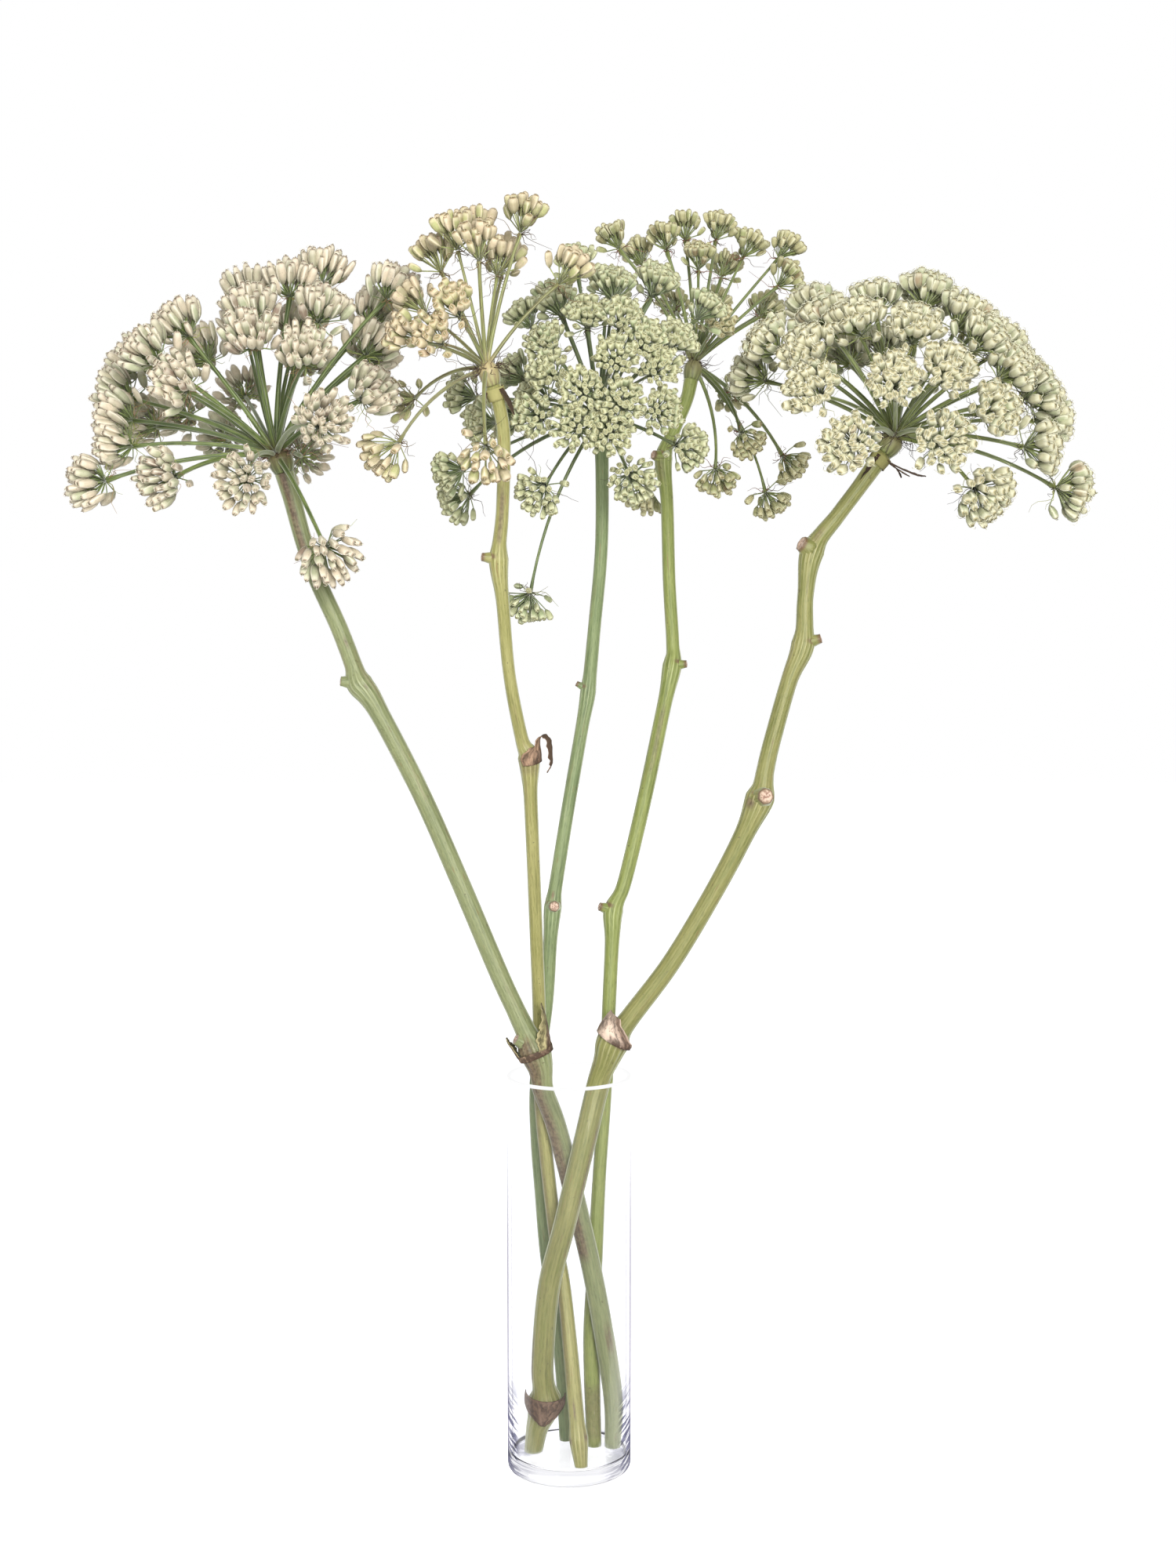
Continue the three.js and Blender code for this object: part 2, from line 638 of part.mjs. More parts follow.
// The tips of an umbellet's seeds, spread by the golden angle over a cap round the end of its ray
function seedTips(umbel, end, facing, fan, random) {
  const frame = acrossFrame(facing);
  const tips = [];
  for (let i = 0; i < umbel.seeds; i += 1) {
    const lean = Math.acos(1 - ((i + 0.5) / umbel.seeds) * (1 - Math.cos(fan)));
    const reach = umbel.umbellet * (1 + SEED_JITTER * (random() * 2 - 1));
    const tip = around(end, frame, reach * Math.sin(lean), i * GOLDEN_ANGLE);
    tips.push(tip.addScaledVector(facing, reach * Math.cos(lean)));
  }
  return tips;
}

function ringOf(centre, along, radius) {
  const frame = acrossFrame(along);
  return Array.from({ length: RAY_SIDES }, (_, i) => (
    around(centre, frame, radius, (-i * 2 * Math.PI) / RAY_SIDES)
  ));
}

// One umbellet: seeds that stand out of a core, closed down onto the end of its ray
function umbelletTriangles(centre, tips, ring) {
  const hull = new ConvexHull().setFromPoints([...tips, ...ring]);
  const triangles = [];
  for (const face of hull.faces) {
    const corners = [];
    let edge = face.edge;
    do {
      corners.push(edge.head().point);
      edge = edge.next;
    } while (edge !== face.edge);
    const onRing = corners.filter((corner) => ring.includes(corner)).length;
    if (onRing === 0) {
      const middle = corners[0].clone().add(corners[1]).add(corners[2]).divideScalar(3);
      const valley = centre.clone().lerp(middle, SEED_GAP_DEPTH);
      corners.forEach((corner, i) => triangles.push(corner, corners[(i + 1) % 3], valley));
    } else if (onRing < RAY_SIDES) {
      triangles.push(...corners);
    }
  }
  return triangles;
}

function rayTriangles(rings) {
  const triangles = [];
  for (let k = 0; k + 1 < rings.length; k += 1) {
    for (let i = 0; i < RAY_SIDES; i += 1) {
      const j = (i + 1) % RAY_SIDES;
      triangles.push(rings[k][i], rings[k][j], rings[k + 1][j]);
      triangles.push(rings[k][i], rings[k + 1][j], rings[k + 1][i]);
    }
  }
  triangles.push(...rings[rings.length - 1]);
  return triangles;
}

function raySolid(umbel, place, random) {
  const hub = vec(umbel.hub);
  const axis = vec(umbel.axis).normalize();
  const way = place.clone().normalize();
  const length = place.length() - UMBELLET_MIDDLE * umbel.umbellet;
  const end = hub.clone().addScaledVector(way, length);
  const bow = length * (RAY_BOW + RAY_DROOP * Math.max(0, -way.dot(axis)));
  const aside = axis.clone().addScaledVector(way, -way.dot(axis));
  const middle = hub.clone().addScaledVector(way, length / 2).addScaledVector(aside, bow);
  const start = hub.clone().addScaledVector(way, RAY_START);
  const facing = end.clone().sub(middle).normalize().lerp(axis, AXIS_SHARE).normalize();
  const fan = THREE.MathUtils.degToRad(umbel.fan + HANGING_FAN * Math.max(0, -way.z));
  const tips = seedTips(umbel, end, facing, fan, random);
  const rings = [
    ringOf(end, facing, RAY_TIP),
    ringOf(middle, way, (RAY_ROOT + RAY_TIP) / 2),
    ringOf(start, middle.clone().sub(start).normalize(), RAY_ROOT),
  ];
  const triangles = [...umbelletTriangles(end, tips, rings[0]), ...rayTriangles(rings)];
  return solidOf(geometryOf(triangles));
}

function makeUmbel(name, index) {
  const umbel = UMBELS[name];
  const stem = STEMS[name.replace('umbel', 'stem')];
  const random = seededRandom(index + 1);
  const places = [...placesSeen(umbel), ...placesBehind(name)];
  const solids = places.map((place) => raySolid(umbel, place, random));
  return piece(name, oneBody(joined([hubSolid(stem), ...solids])), umbel.colour);
}

const giantFennel = new THREE.Group();
giantFennel.add(makeVase());
Object.keys(STEMS).forEach((name) => giantFennel.add(makeStem(name)));
Object.keys(SHEATHS).forEach((name) => giantFennel.add(makeSheath(name)));
Object.keys(BRACTS).forEach((name) => giantFennel.add(makeBracts(name)));
Object.keys(UMBELS).forEach((name, index) => giantFennel.add(makeUmbel(name, index)));

export default giantFennel;
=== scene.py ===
# Giant fennel: five cut flowering stems with ripe seed heads in a glass cylinder vase.
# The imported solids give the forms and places, and this script gives them their finished surfaces.
# Lengths in the tables are millimetres: +X right, +Y away from the viewer, +Z up.
import math

import bpy
import numpy as np
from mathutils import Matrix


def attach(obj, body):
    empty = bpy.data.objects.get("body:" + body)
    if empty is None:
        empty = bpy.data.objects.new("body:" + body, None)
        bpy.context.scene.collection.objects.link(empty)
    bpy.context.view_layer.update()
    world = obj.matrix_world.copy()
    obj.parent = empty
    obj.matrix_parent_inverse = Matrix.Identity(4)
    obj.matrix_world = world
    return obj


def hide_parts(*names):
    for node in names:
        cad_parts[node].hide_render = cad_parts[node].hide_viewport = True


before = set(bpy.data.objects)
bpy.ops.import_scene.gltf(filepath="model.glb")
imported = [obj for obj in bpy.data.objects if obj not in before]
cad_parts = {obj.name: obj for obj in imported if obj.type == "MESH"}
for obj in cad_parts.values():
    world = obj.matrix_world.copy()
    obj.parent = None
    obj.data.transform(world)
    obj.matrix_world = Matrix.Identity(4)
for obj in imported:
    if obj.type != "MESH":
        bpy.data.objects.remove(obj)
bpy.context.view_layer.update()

MM = 0.001
UP = np.array([0.0, 0.0, 1.0])
GOLDEN_ANGLE = math.pi * (3 - math.sqrt(5))

# The vase, as its solid has it
VASE_RADIUS, VASE_HEIGHT, VASE_WALL, VASE_FLOOR = 46.7, 303, 3, 13
FOOT_ROUND, FLOOR_ROUND, RIM_ROUND = 5, 3, 1

# Stems: how far a joint swells below and above its ridge, in mm
SWELL_BELOW, SWELL_ABOVE = 17, 7

# Each stem's centre line from its cut end up to its hub: (x, y, z, radius).
# joints: (index of the point, how much it swells)
# stubs of cut side branches: (index of the point, direction, length, radius).
# brown: how dark their rims and the scars at joints are, as a share.
# ribs: how many run along it. stains: brown patches, (first place, last place, angle, how wide, strength),
# with angles in degrees, 0 to the right and -90 to the viewer
STEMS = {
    "stem_1": dict(
        path=[
            (33.5, 6, 13.4, 6.4), (34, 4, 48, 7.6), (28, -1, 93, 7.7), (17, -8, 156, 7.4),
            (4.5, -12.5, 212, 7.5), (-9, -20, 268, 7.5), (-18.5, -29, 298, 7.5), (-21, -30, 315, 8),
            (-26, -31, 330, 8.2), (-39, -30, 358, 7.1), (-51, -28, 384, 7.1), (-80, -25, 453, 7),
            (-108, -23, 517, 6.9), (-140, -21, 579, 7.1), (-152.5, -20, 597, 7.5),
            (-157, -20, 611, 6.5), (-167, -21, 638, 6.3), (-182.5, -22, 673, 6.3),
            (-191.5, -23, 700, 6.3), (-199, -24, 729, 6.5), (-204.5, -25, 748.5, 7),
        ],
        joints=[(8, 0.48), (14, 0.3)],
        stubs=[(8, (-0.9, -0.3, 0.5), 3, 4), (14, (-1, -0.2, 0.1), 4, 3.2)],
        brown=0.15,
        ribs=17,
        green=(0.15, 0.175, 0.073),
        tint=(0.235, 0.255, 0.12),
        stains=[
            (3.1, 8.4, -126, 46, 0.95), (1.9, 2.4, -60, 22, 0.8), (17.5, 20.2, -100, 24, 1.0),
            (13.4, 13.8, -70, 7, 0.7), (15.4, 15.8, -75, 12, 0.7), (0.15, 0.4, -75, 12, 0.6),
        ],
    ),
    "stem_2": dict(
        path=[
            (9, -33.5, 13.4, 4.6), (7, -31, 35, 5.8), (4.5, -26, 61, 5.8), (1, -20, 99, 5.6),
            (-4, -10, 143, 5.3), (-9, -5, 172, 5.2), (-14, -5, 214, 5.2), (-19, -7, 263, 5.2),
            (-21.5, -9, 299, 5), (-22, -12, 354, 5), (-23.5, -27, 408, 4.9), (-25.3, -42, 468, 4.8),
            (-27, -54, 520, 5), (-28, -60, 546, 5.6), (-33, -63, 560, 4.8), (-41, -75, 605, 4.4),
            (-45, -87, 655, 4.6), (-47.5, -95, 686, 5.2), (-44.5, -101, 719, 4.5),
            (-43, -110, 766, 4.6), (-46, -115, 789, 4.8), (-50, -118, 802, 5.4),
        ],
        joints=[(1, 0.25), (13, 0.42), (17, 0.34)],
        stubs=[(17, (-1, -0.2, 0.1), 5, 2.6)],
        brown=1.0,
        ribs=13,
        green=(0.215, 0.21, 0.062),
        tint=(0.31, 0.29, 0.11),
        stains=[
            (0.82, 1.2, -35, 16, 0.95), (0.75, 1.1, -150, 18, 0.85), (1.5, 2.1, -100, 9, 0.85),
            (2.2, 8, -140, 30, 0.45), (12.4, 13.2, -90, 70, 0.4), (17.3, 18.4, -95, 22, 0.75),
        ],
    ),
    "stem_3": dict(
        path=[
            (-3, 19, 13.4, 4.8), (-6, 24, 64, 5), (-10, 25, 102, 5), (-18, 25, 157, 5),
            (-22, 22, 207, 5), (-25, 18, 251, 5), (-25, 14, 293, 5.1), (-17, 7, 355, 5.1),
            (-14, 7, 403, 5.2), (-12, 8, 429, 5.4), (-9, 8, 450, 5.1), (-0.5, 9, 503, 5),
            (9.5, 10, 561, 4.9), (14.5, 10, 591, 5.2), (19, 5, 637, 4.8), (24, -3, 694, 4.8),
            (24.5, -10, 751, 4.9), (23.5, -13, 776.5, 5.3),
        ],
        joints=[(9, 0.25), (13, 0.15)],
        stubs=[(9, (0.15, -1, 0.1), 2, 3.4), (13, (-1, -0.1, 0.5), 4, 1.8)],
        brown=1.0,
        ribs=13,
        green=(0.125, 0.17, 0.07),
        tint=(0.21, 0.255, 0.115),
        stains=[(5.5, 6.3, -60, 40, 0.4), (9.3, 9.7, -100, 14, 0.8), (14.4, 14.6, -120, 16, 0.7)],
    ),
    "stem_4": dict(
        path=[
            (19, 8, 13.4, 5.8), (17.5, 11, 63, 6.4), (17, 12, 103, 6.3), (20, 9, 163, 5.8),
            (23, 11, 222, 5.2), (28, 15, 293, 5.2), (30, 18, 347, 5.3), (32.5, 24, 400, 5.4),
            (33.5, 28, 423, 5.8), (40.5, 31, 439, 5.5), (47, 36, 463, 5.6), (58.5, 47, 511, 5.7),
            (70, 59, 564, 5.6), (79, 69, 607, 5.6), (79.5, 73, 625, 5.1), (77, 81, 672, 5),
            (75.5, 93, 733, 5), (73, 100, 767, 5.4), (81, 104, 788, 5.1), (91, 109, 812, 5.1),
            (94.5, 112, 827.5, 5.6),
        ],
        joints=[(8, 0.32), (13, 0.34), (17, 0.3)],
        stubs=[
            (8, (-1, -0.3, 0.3), 4, 2.8), (13, (1, -0.2, 0.1), 4, 2.6),
            (17, (-0.8, -0.5, 0.2), 3, 3.2),
        ],
        brown=1.0,
        ribs=13,
        green=(0.16, 0.195, 0.047),
        tint=(0.25, 0.28, 0.085),
        stains=[(0.0, 1.0, -80, 90, 0.5), (11.2, 12.3, -90, 20, 0.45), (16.3, 17, -120, 30, 0.4)],
    ),
    "stem_5": dict(
        path=[
            (-27, -3, 13.4, 7), (-24, -8, 33, 8), (-18, -14, 57, 8.6), (-19.5, -20, 87, 8.2),
            (-14.5, -26, 148, 8.2), (-3, -32, 197, 8.2), (11, -32, 257, 8.2), (21.5, -26, 301, 8.2),
            (28.5, -29, 322, 8.3), (33.5, -32, 336, 8.5), (45.5, -33, 353, 7.5), (75, -34, 393, 7.1),
            (104, -35, 442, 7), (125.5, -37, 483.5, 7.3), (139, -38, 515, 7.7),
            (142.5, -38, 534, 6.6), (147, -37, 554, 6.3), (159.5, -35, 599, 6.1),
            (169.5, -34, 626, 6.7), (171, -33, 660, 5.8), (176, -32, 693, 6.8), (194, -31, 718, 5.7),
            (209, -30.5, 738, 5.7), (226, -30, 762, 6.6),
        ],
        joints=[(2, 0.5), (9, 0.46), (14, 0.4), (18, 0.28), (20, 0.3)],
        stubs=[
            (14, (0.25, -1, 0.15), 3, 5), (18, (1, -0.2, 0.3), 5, 3), (20, (-0.9, -0.4, 0.5), 2, 5),
        ],
        brown=1.0,
        ribs=18,
        green=(0.155, 0.165, 0.045),
        tint=(0.24, 0.23, 0.08),
        stains=[
            (8.8, 9.2, -55, 30, 0.9), (5.2, 6.4, -38, 9, 0.8), (2.6, 3.5, -160, 12, 0.7),
            (3.9, 4.1, -110, 14, 0.8), (13.6, 14.0, -130, 22, 0.9), (20.1, 20.6, -110, 20, 0.5),
        ],
    ),
}

# Each seed head. hub: where its rays meet. axis: the way it faces. reach: usual distance from the hub
# to the middle of an umbellet. umbellet: from the end of a ray to its seeds' tips.
# rays: [right, up, share of the depth left that comes towards the viewer], to an umbellet's middle.
# fan: how far seeds lean out, in degrees. back: rays that fill the far side.
# seeds: on each umbellet. size: a seed's length, width and thickness. styles: length of those at its tip.
# gather: how far seeds turn to point the same way. thick: how thick its rays are, as a share.
# end: how wide the seeds' end discs are, as a share.
# seed_colours: rim is the pale of the seeds' wings, shoulders and styles, and also the colour of a painted
# rim light on their edges
UMBELS = {
    "umbel_1": dict(
        hub=(-210.5, -25, 762), axis=(-0.35, 0.1, 0.93), reach=158, umbellet=32, fan=50, back=3,
        rays=[
            (-136, -23, 0.3), (-69, -24, 0.65), (-6, -27, 0.75), (50, -80, 0.6), (-119, 6, 0.1),
            (-120, 28, 0), (-123, 47, -0.2), (-88, 72, 0.45), (-54, 43, 0.75), (-114, 72, -0.4),
            (-69, 96, 0.2), (-66, 83, -0.5), (-26, 128, -0.4), (-13, 109, 0.2), (-5, 81, 0.6),
            (12, 130, -0.1), (37, 139, -0.3), (42, 105, 0.35), (91, 124, 0), (37, 67, 0.65),
            (75, 85, -0.2), (72, 111, -0.6), (81, 40, 0.5), (52, 13, 0.9), (-110, 27, -0.5),
            (-89, 38, -0.75), (-60, 20, -0.85), (-44, 58, -0.9), (9, 104, -0.6), (13, 3, -0.5),
        ],
        hub_colour=(0.13, 0.085, 0.045),
        seeds=38, end=1.0, size=(16, 7.1, 5.6), gather=0.4, thick=1.25, styles=3,
        seed_colours=dict(
            cream=(0.56, 0.475, 0.35), green=(0.40, 0.415, 0.265), brown=(0.26, 0.19, 0.14),
            tip=(0.34, 0.25, 0.18), rim=(0.78, 0.72, 0.58),
        ),
        ray_colours=((0.045, 0.07, 0.02), (0.17, 0.215, 0.06)),
        thread_colours=((0.33, 0.36, 0.11), (0.36, 0.22, 0.13)),
    ),
    "umbel_2": dict(
        hub=(-54.4, -120, 814), axis=(-0.15, -0.2, 0.97), reach=118, umbellet=30, fan=36, back=1,
        rays=[
            (28, 104, 0.2), (-22, 92, 0.2), (-4, 82, 0.4), (9, 79, -0.2), (-38, 80, -0.2),
            (-18, 33, 0.65), (-32, 11, 0.65), (-55, 19, 0.3), (60, 68, 0), (-71, -62, 0.2),
            (2, -68, 0.6), (-64, -18, -0.8), (-54, 49, -0.3), (-8, 101, -0.5),
        ],
        hub_colour=(0.46, 0.36, 0.19),
        seeds=21, end=1.2, size=(11.5, 7.2, 5.4), gather=0.25, thick=0.95, styles=2,
        seed_colours=dict(
            cream=(0.50, 0.41, 0.275), green=(0.38, 0.385, 0.175), brown=(0.28, 0.19, 0.11),
            tip=(0.31, 0.21, 0.11), rim=(0.68, 0.59, 0.42),
        ),
        ray_colours=((0.12, 0.10, 0.045), (0.26, 0.29, 0.10)),
        thread_colours=((0.20, 0.14, 0.07), (0.10, 0.07, 0.045)),
    ),
    "umbel_3": dict(
        hub=(22.8, -15, 789.5), axis=(-0.1, -0.6, 0.78), reach=128, umbellet=26, fan=48, back=4,
        rays=[
            (11, 94, 0.3), (43, 97, 0.1), (-10, 66, 0.65), (-32, 84, 0.1), (-58, 77, -0.3),
            (80, 79, 0), (15, 63, 0.75), (-40, 49, 0.5), (31, 45, 0.85), (-37, 25, 0.65),
            (11, 32, 0.88), (-51, 16, 0.1), (-14, 8, 0.95), (16, -1, 0.95), (-47, -8, 0.75),
            (-18, -18, 0.93), (42, 26, 0.8), (7, -21, 0.92), (-104, 16, -0.1), (-89, -7, 0.2),
            (-112, -44, 0.2), (-108, -63, -0.6), (-46, -61, 0.5), (-56, -141, 0), (24, -53, 0.6),
            (65, -28, 0.4), (43, -5, 0.8), (57, 53, 0.4), (-66, 35, -0.4), (-70, 4, -0.6),
        ],
        hub_colour=(0.30, 0.26, 0.12),
        seeds=42, end=1.3, size=(9.2, 5.2, 4.2), gather=0.15, thick=0.95, styles=2,
        seed_colours=dict(
            cream=(0.42, 0.425, 0.24), green=(0.30, 0.345, 0.185), brown=(0.24, 0.215, 0.11),
            tip=(0.27, 0.24, 0.11), rim=(0.66, 0.66, 0.46),
        ),
        ray_colours=((0.06, 0.085, 0.035), (0.18, 0.22, 0.09)),
        thread_colours=((0.30, 0.32, 0.12), (0.09, 0.06, 0.045)),
    ),
    "umbel_4": dict(
        hub=(96.5, 115, 841), axis=(0.35, 0.45, 0.82), reach=120, umbellet=25, fan=40, back=2,
        rays=[
            (-66, 100, -0.3), (-45, 93, -0.6), (-24, 102, -0.2), (-7, 111, -0.4), (20, 110, -0.3),
            (3, 82, 0.3), (28, 84, -0.6), (45, 96, -0.2), (75, 92, -0.1), (75, 67, 0.2),
            (65, 47, -0.4), (34, -22, -0.6), (42, -66, 0.4), (80, -82, 0.1), (64, -112, 0),
            (19, -96, 0.35), (-39, -108, -0.4), (-13, 56, -0.7), (15, 23, 0.6),
        ],
        hub_colour=(0.26, 0.22, 0.11),
        seeds=28, end=1.3, size=(9.8, 5.6, 4.4), gather=0.25, thick=0.95, styles=2,
        seed_colours=dict(
            cream=(0.43, 0.395, 0.215), green=(0.31, 0.325, 0.145), brown=(0.20, 0.15, 0.08),
            tip=(0.30, 0.23, 0.10), rim=(0.70, 0.68, 0.46),
        ),
        ray_colours=((0.075, 0.10, 0.03), (0.20, 0.235, 0.07)),
        thread_colours=((0.24, 0.10, 0.06), (0.10, 0.065, 0.04)),
    ),
    "umbel_5": dict(
        hub=(234, -30, 774.5), axis=(0.2, 0, 0.98), reach=140, umbellet=31, fan=50, back=4,
        rays=[
            (-98, 67, 0.25), (-73, 56, 0.6), (-72, 24, 0.85), (-56, 89, 0), (-36, 80, 0.45),
            (-14, 103, -0.2), (3, 71, 0.6), (25, 108, -0.1), (-18, 28, 0.88), (21, 36, 0.8),
            (49, 88, 0.2), (60, 69, 0.35), (84, 69, -0.1), (82, 45, 0.35), (101, 50, -0.3),
            (59, 11, 0.7), (108, 30, 0.1), (119, 13, -0.1), (106, -11, 0.25), (-47, -14, 0.85),
            (17, -14, 0.9), (57, -48, 0.6), (133, -42, 0), (-30, 68, -0.6), (-104, 49, -0.5),
            (1, 73, -0.7),
        ],
        hub_colour=(0.25, 0.21, 0.10),
        seeds=44, end=1.1, size=(12, 7.7, 6.1), gather=0.35, thick=1.15, styles=6.5,
        seed_colours=dict(
            cream=(0.44, 0.415, 0.265), green=(0.345, 0.37, 0.22), brown=(0.31, 0.235, 0.145),
            tip=(0.35, 0.29, 0.145), rim=(0.73, 0.71, 0.54),
        ),
        ray_colours=((0.055, 0.07, 0.02), (0.22, 0.26, 0.075)),
        thread_colours=((0.36, 0.36, 0.12), (0.06, 0.045, 0.035)),
    ),
}

# Umbellets and rays, as their solids have them.
# An umbellet's middle and girth are shares of its size, and one that hangs fans out by more degrees
UMBELLET_MIDDLE, UMBELLET_GIRTH, HANGING_FAN = 0.57, 0.8, 20
# A ray's radii, its start, how it bows and droops, and how far it turns the way its head faces
RAY_ROOT, RAY_TIP, RAY_START = 2.1, 1.4, 2
RAY_BOW, RAY_DROOP, AXIS_SHARE = 0.05, 0.12, 0.2
# Umbellets of the far side: places tried, how far they lean and reach, how far apart they stand, how
# well those in front hide them from the viewer, and their room from other heads and from the stems
VIEWER = (14, -1608, 662)
BACK_TRIES, BACK_LEAN, BACK_REACH = 900, math.radians(96), 0.92
BACK_ROOM, BACK_HIDDEN, OTHER_ROOM, STEM_ROOM, STEM_POINTS = 1.4, 0.3, 5, 8, 60

# Dry sheaths. sheets: rows of (mm along the stem, radius, first angle, last angle)
SHEATHS = {
    "sheath_1": dict(
        stem="stem_1", at=8, colour=(0.27, 0.235, 0.115),
        sheets=[
            [(-7, 13.2, -215, 5), (-2, 14.1, -215, 5)],
            [(-3, 14, -210, -140), (4, 15, -212, -145), (10, 16.2, -205, -152), (14, 15.8, -192, -165)],
            [(-3, 14, -80, -8), (5, 15, -74, 8), (12, 16.6, -56, 20), (20, 18, -34, 16),
             (28, 18.4, -16, 6)],
        ],
        dusk=[(0.9, 0.7), (1.0, 0.6), (-0.3, 1.4)],
    ),
    "sheath_2": dict(
        stem="stem_2", at=13, colour=(0.27, 0.17, 0.105),
        sheets=[
            [(-4, 9.2, -125, -5), (3, 9.6, -125, 5), (9, 9.6, -80, 0)],
            [(4, 9.4, -60, 0), (13, 11, -50, -12), (16, 16, -46, -16), (10, 20, -46, -20),
             (-4, 19, -44, -26), (-11, 14, -42, -28)],
        ],
        dusk=[(0.4, 0.8), (0.3, 0.7)],
    ),
    "sheath_5": dict(
        stem="stem_5", at=9, colour=(0.42, 0.32, 0.25),
        sheets=[[(0, 14.6, -182, -18), (6, 14.8, -190, -38), (13, 14, -192, -84), (19, 13, -182, -112)]],
        dusk=[(-1.3, 1.2)],
    ),
    "sheath_foot": dict(
        stem="stem_5", at=2, colour=(0.115, 0.07, 0.043),
        sheets=[
            [(-14, 13.6, -104, -76), (-7, 14.9, -135, -48), (1, 15.5, -172, -8), (8, 15, -186, 6)],
        ],
        dusk=[(0.2, 0.8)],
    ),
}

# Dry bracts under a hub: (first angle, last angle, mm up along the stem to the tip, mm it stands out).
# Rows of a strip: share of the way to its tip, share of how far that stands out, share it narrows.
BRACT_COLLAR = [(-10, 0), (-1.5, 0.6)]
BRACT_COLLAR_ARC = (-170, 150)
BRACT_START = -3
COLLAR_DUSK = (-3, -3)
BRACT_ROWS = [(0, 0, 0), (0.2, 0.4, 0.1), (0.6, 0.8, 0.3), (1, 1, 0.75)]
BRACTS = {
    "bracts_2": dict(
        stem="stem_2", colour=(0.17, 0.11, 0.065),
        strips=[(-165, -130, -20, 7), (-60, -25, -22, 5), (60, 95, -14, 8)],
    ),
    "bracts_5": dict(
        stem="stem_5", colour=(0.10, 0.06, 0.038),
        strips=[
            (-165, -140, -16, 8), (-118, -96, -26, 3), (-52, -30, -9, 18), (-26, -6, 3, 28),
            (8, 28, -1, 20), (70, 95, -20, 10),
        ],
    ),
}


# Vectors

# Along +X past this share, a second direction is used to find what lies across
NEAR_X = 0.8


def floats(values):
    return np.array(values, dtype=float)


def unit(v):
    return v / np.linalg.norm(v, axis=-1, keepdims=True)


def across(along):
    """Two directions across each unit vector of along: side, near +X, and front."""
    seed = np.where(np.abs(along[..., :1]) < NEAR_X, [1.0, 0.0, 0.0], [0.0, 1.0, 0.0])
    side = unit(seed - along * np.sum(seed * along, axis=-1, keepdims=True))
    return side, np.cross(along, side)


def carried_across(along):
    """Directions across paths of unit vectors (paths, points, 3), carried along without a twist."""
    side = np.empty_like(along)
    side[:, 0] = across(along[:, 0])[0]
    for k in range(1, along.shape[1]):
        last = side[:, k - 1]
        turned = last - along[:, k] * np.sum(last * along[:, k], axis=-1, keepdims=True)
        side[:, k] = unit(turned)
    return side, np.cross(along, side)


def tangents(paths):
    return unit(np.gradient(paths, axis=1))


def angles(count):
    return np.arange(count) * 2 * math.pi / count


def some_angles(count, random):
    return random.rand(count) * 2 * math.pi


def bell(distance, width, height=1):
    """A smooth hump: its height in the middle, and about a third of it where distance equals width."""
    return np.exp(-(distance / width) ** 2) * height


def ring_of(side, front, angle):
    """Directions at each angle round a line, from its side towards its front."""
    return side * np.cos(angle)[..., None] + front * np.sin(angle)[..., None]


def curve_point(points, place):
    """A point of the smooth curve through points, at place, counted in steps of the points."""
    last = len(points) - 1
    k = min(int(place), last - 1)
    t = place - k
    p1, p2 = points[k], points[k + 1]
    p0 = points[k - 1] if k > 0 else 2 * points[0] - points[1]
    p3 = points[k + 2] if k + 2 <= last else 2 * points[last] - points[last - 1]
    t0, t1 = 0.5 * (p2 - p0), 0.5 * (p3 - p1)
    c2 = -3 * p1 + 3 * p2 - 2 * t0 - t1
    c3 = 2 * p1 - 2 * p2 + t0 + t1
    return p1 + t0 * t + c2 * t ** 2 + c3 * t ** 3


# Meshes

def placed(name, data):
    """A new object of the scene for a mesh, light or camera."""
    made = bpy.data.objects.new(name, data)
    bpy.context.scene.collection.objects.link(made)
    return made


def value_shape(name):
    return (3,) if name == "grain" else ()


class Shape:
    """One mesh, gathered from many small closed bodies, with values for its material on its points."""

    def __init__(self, *names):
        self.points, self.loops, self.totals = [], [], []
        self.values = {name: [] for name in names}
        self.count = 0

    def add(self, points, faces, **values):
        points = points.reshape(-1, 3)
        self.points.append(points)
        for group in faces:
            self.loops.append((group + self.count).ravel())
            self.totals.append(np.full(len(group), group.shape[1]))
        for name, store in self.values.items():
            value = floats(values.get(name, 0))
            store.append(np.broadcast_to(value, (len(points), *value_shape(name))))
        self.count += len(points)

    def made(self, name, material):
        mesh = bpy.data.meshes.new(name)
        mesh.vertices.add(self.count)
        mesh.vertices.foreach_set("co", (np.concatenate(self.points) * MM).ravel())
        loops, totals = np.concatenate(self.loops), np.concatenate(self.totals)
        mesh.loops.add(len(loops))
        mesh.loops.foreach_set("vertex_index", loops)
        mesh.polygons.add(len(totals))
        mesh.polygons.foreach_set("loop_start", np.concatenate(([0], np.cumsum(totals)[:-1])))
        for key, store in self.values.items():
            kind, field = ("FLOAT_VECTOR", "vector") if value_shape(key) else ("FLOAT", "value")
            layer = mesh.attributes.new(key, kind, "POINT")
            layer.data.foreach_set(field, np.concatenate(store).ravel())
        mesh.update(calc_edges=True)
        mesh.validate()
        mesh.polygons.foreach_set("use_smooth", np.ones(len(totals), dtype=bool))
        mesh.materials.append(material)
        return placed(name, mesh)


def quads(*corners):
    return np.stack(corners, axis=-1).reshape(-1, 4)


def tube_faces(count, rings, sides):
    """Side quads and end caps of count tubes whose points run by tube, ring and side."""
    first = (np.arange(count) * rings * sides)[:, None, None]
    low = first + (np.arange(rings - 1) * sides)[:, None]
    high = low + sides
    here = np.arange(sides)
    after = (here + 1) % sides
    top = first[:, 0] + (rings - 1) * sides + here
    return [quads(low + here, low + after, high + after, high + here), first[:, 0] + here[::-1], top]


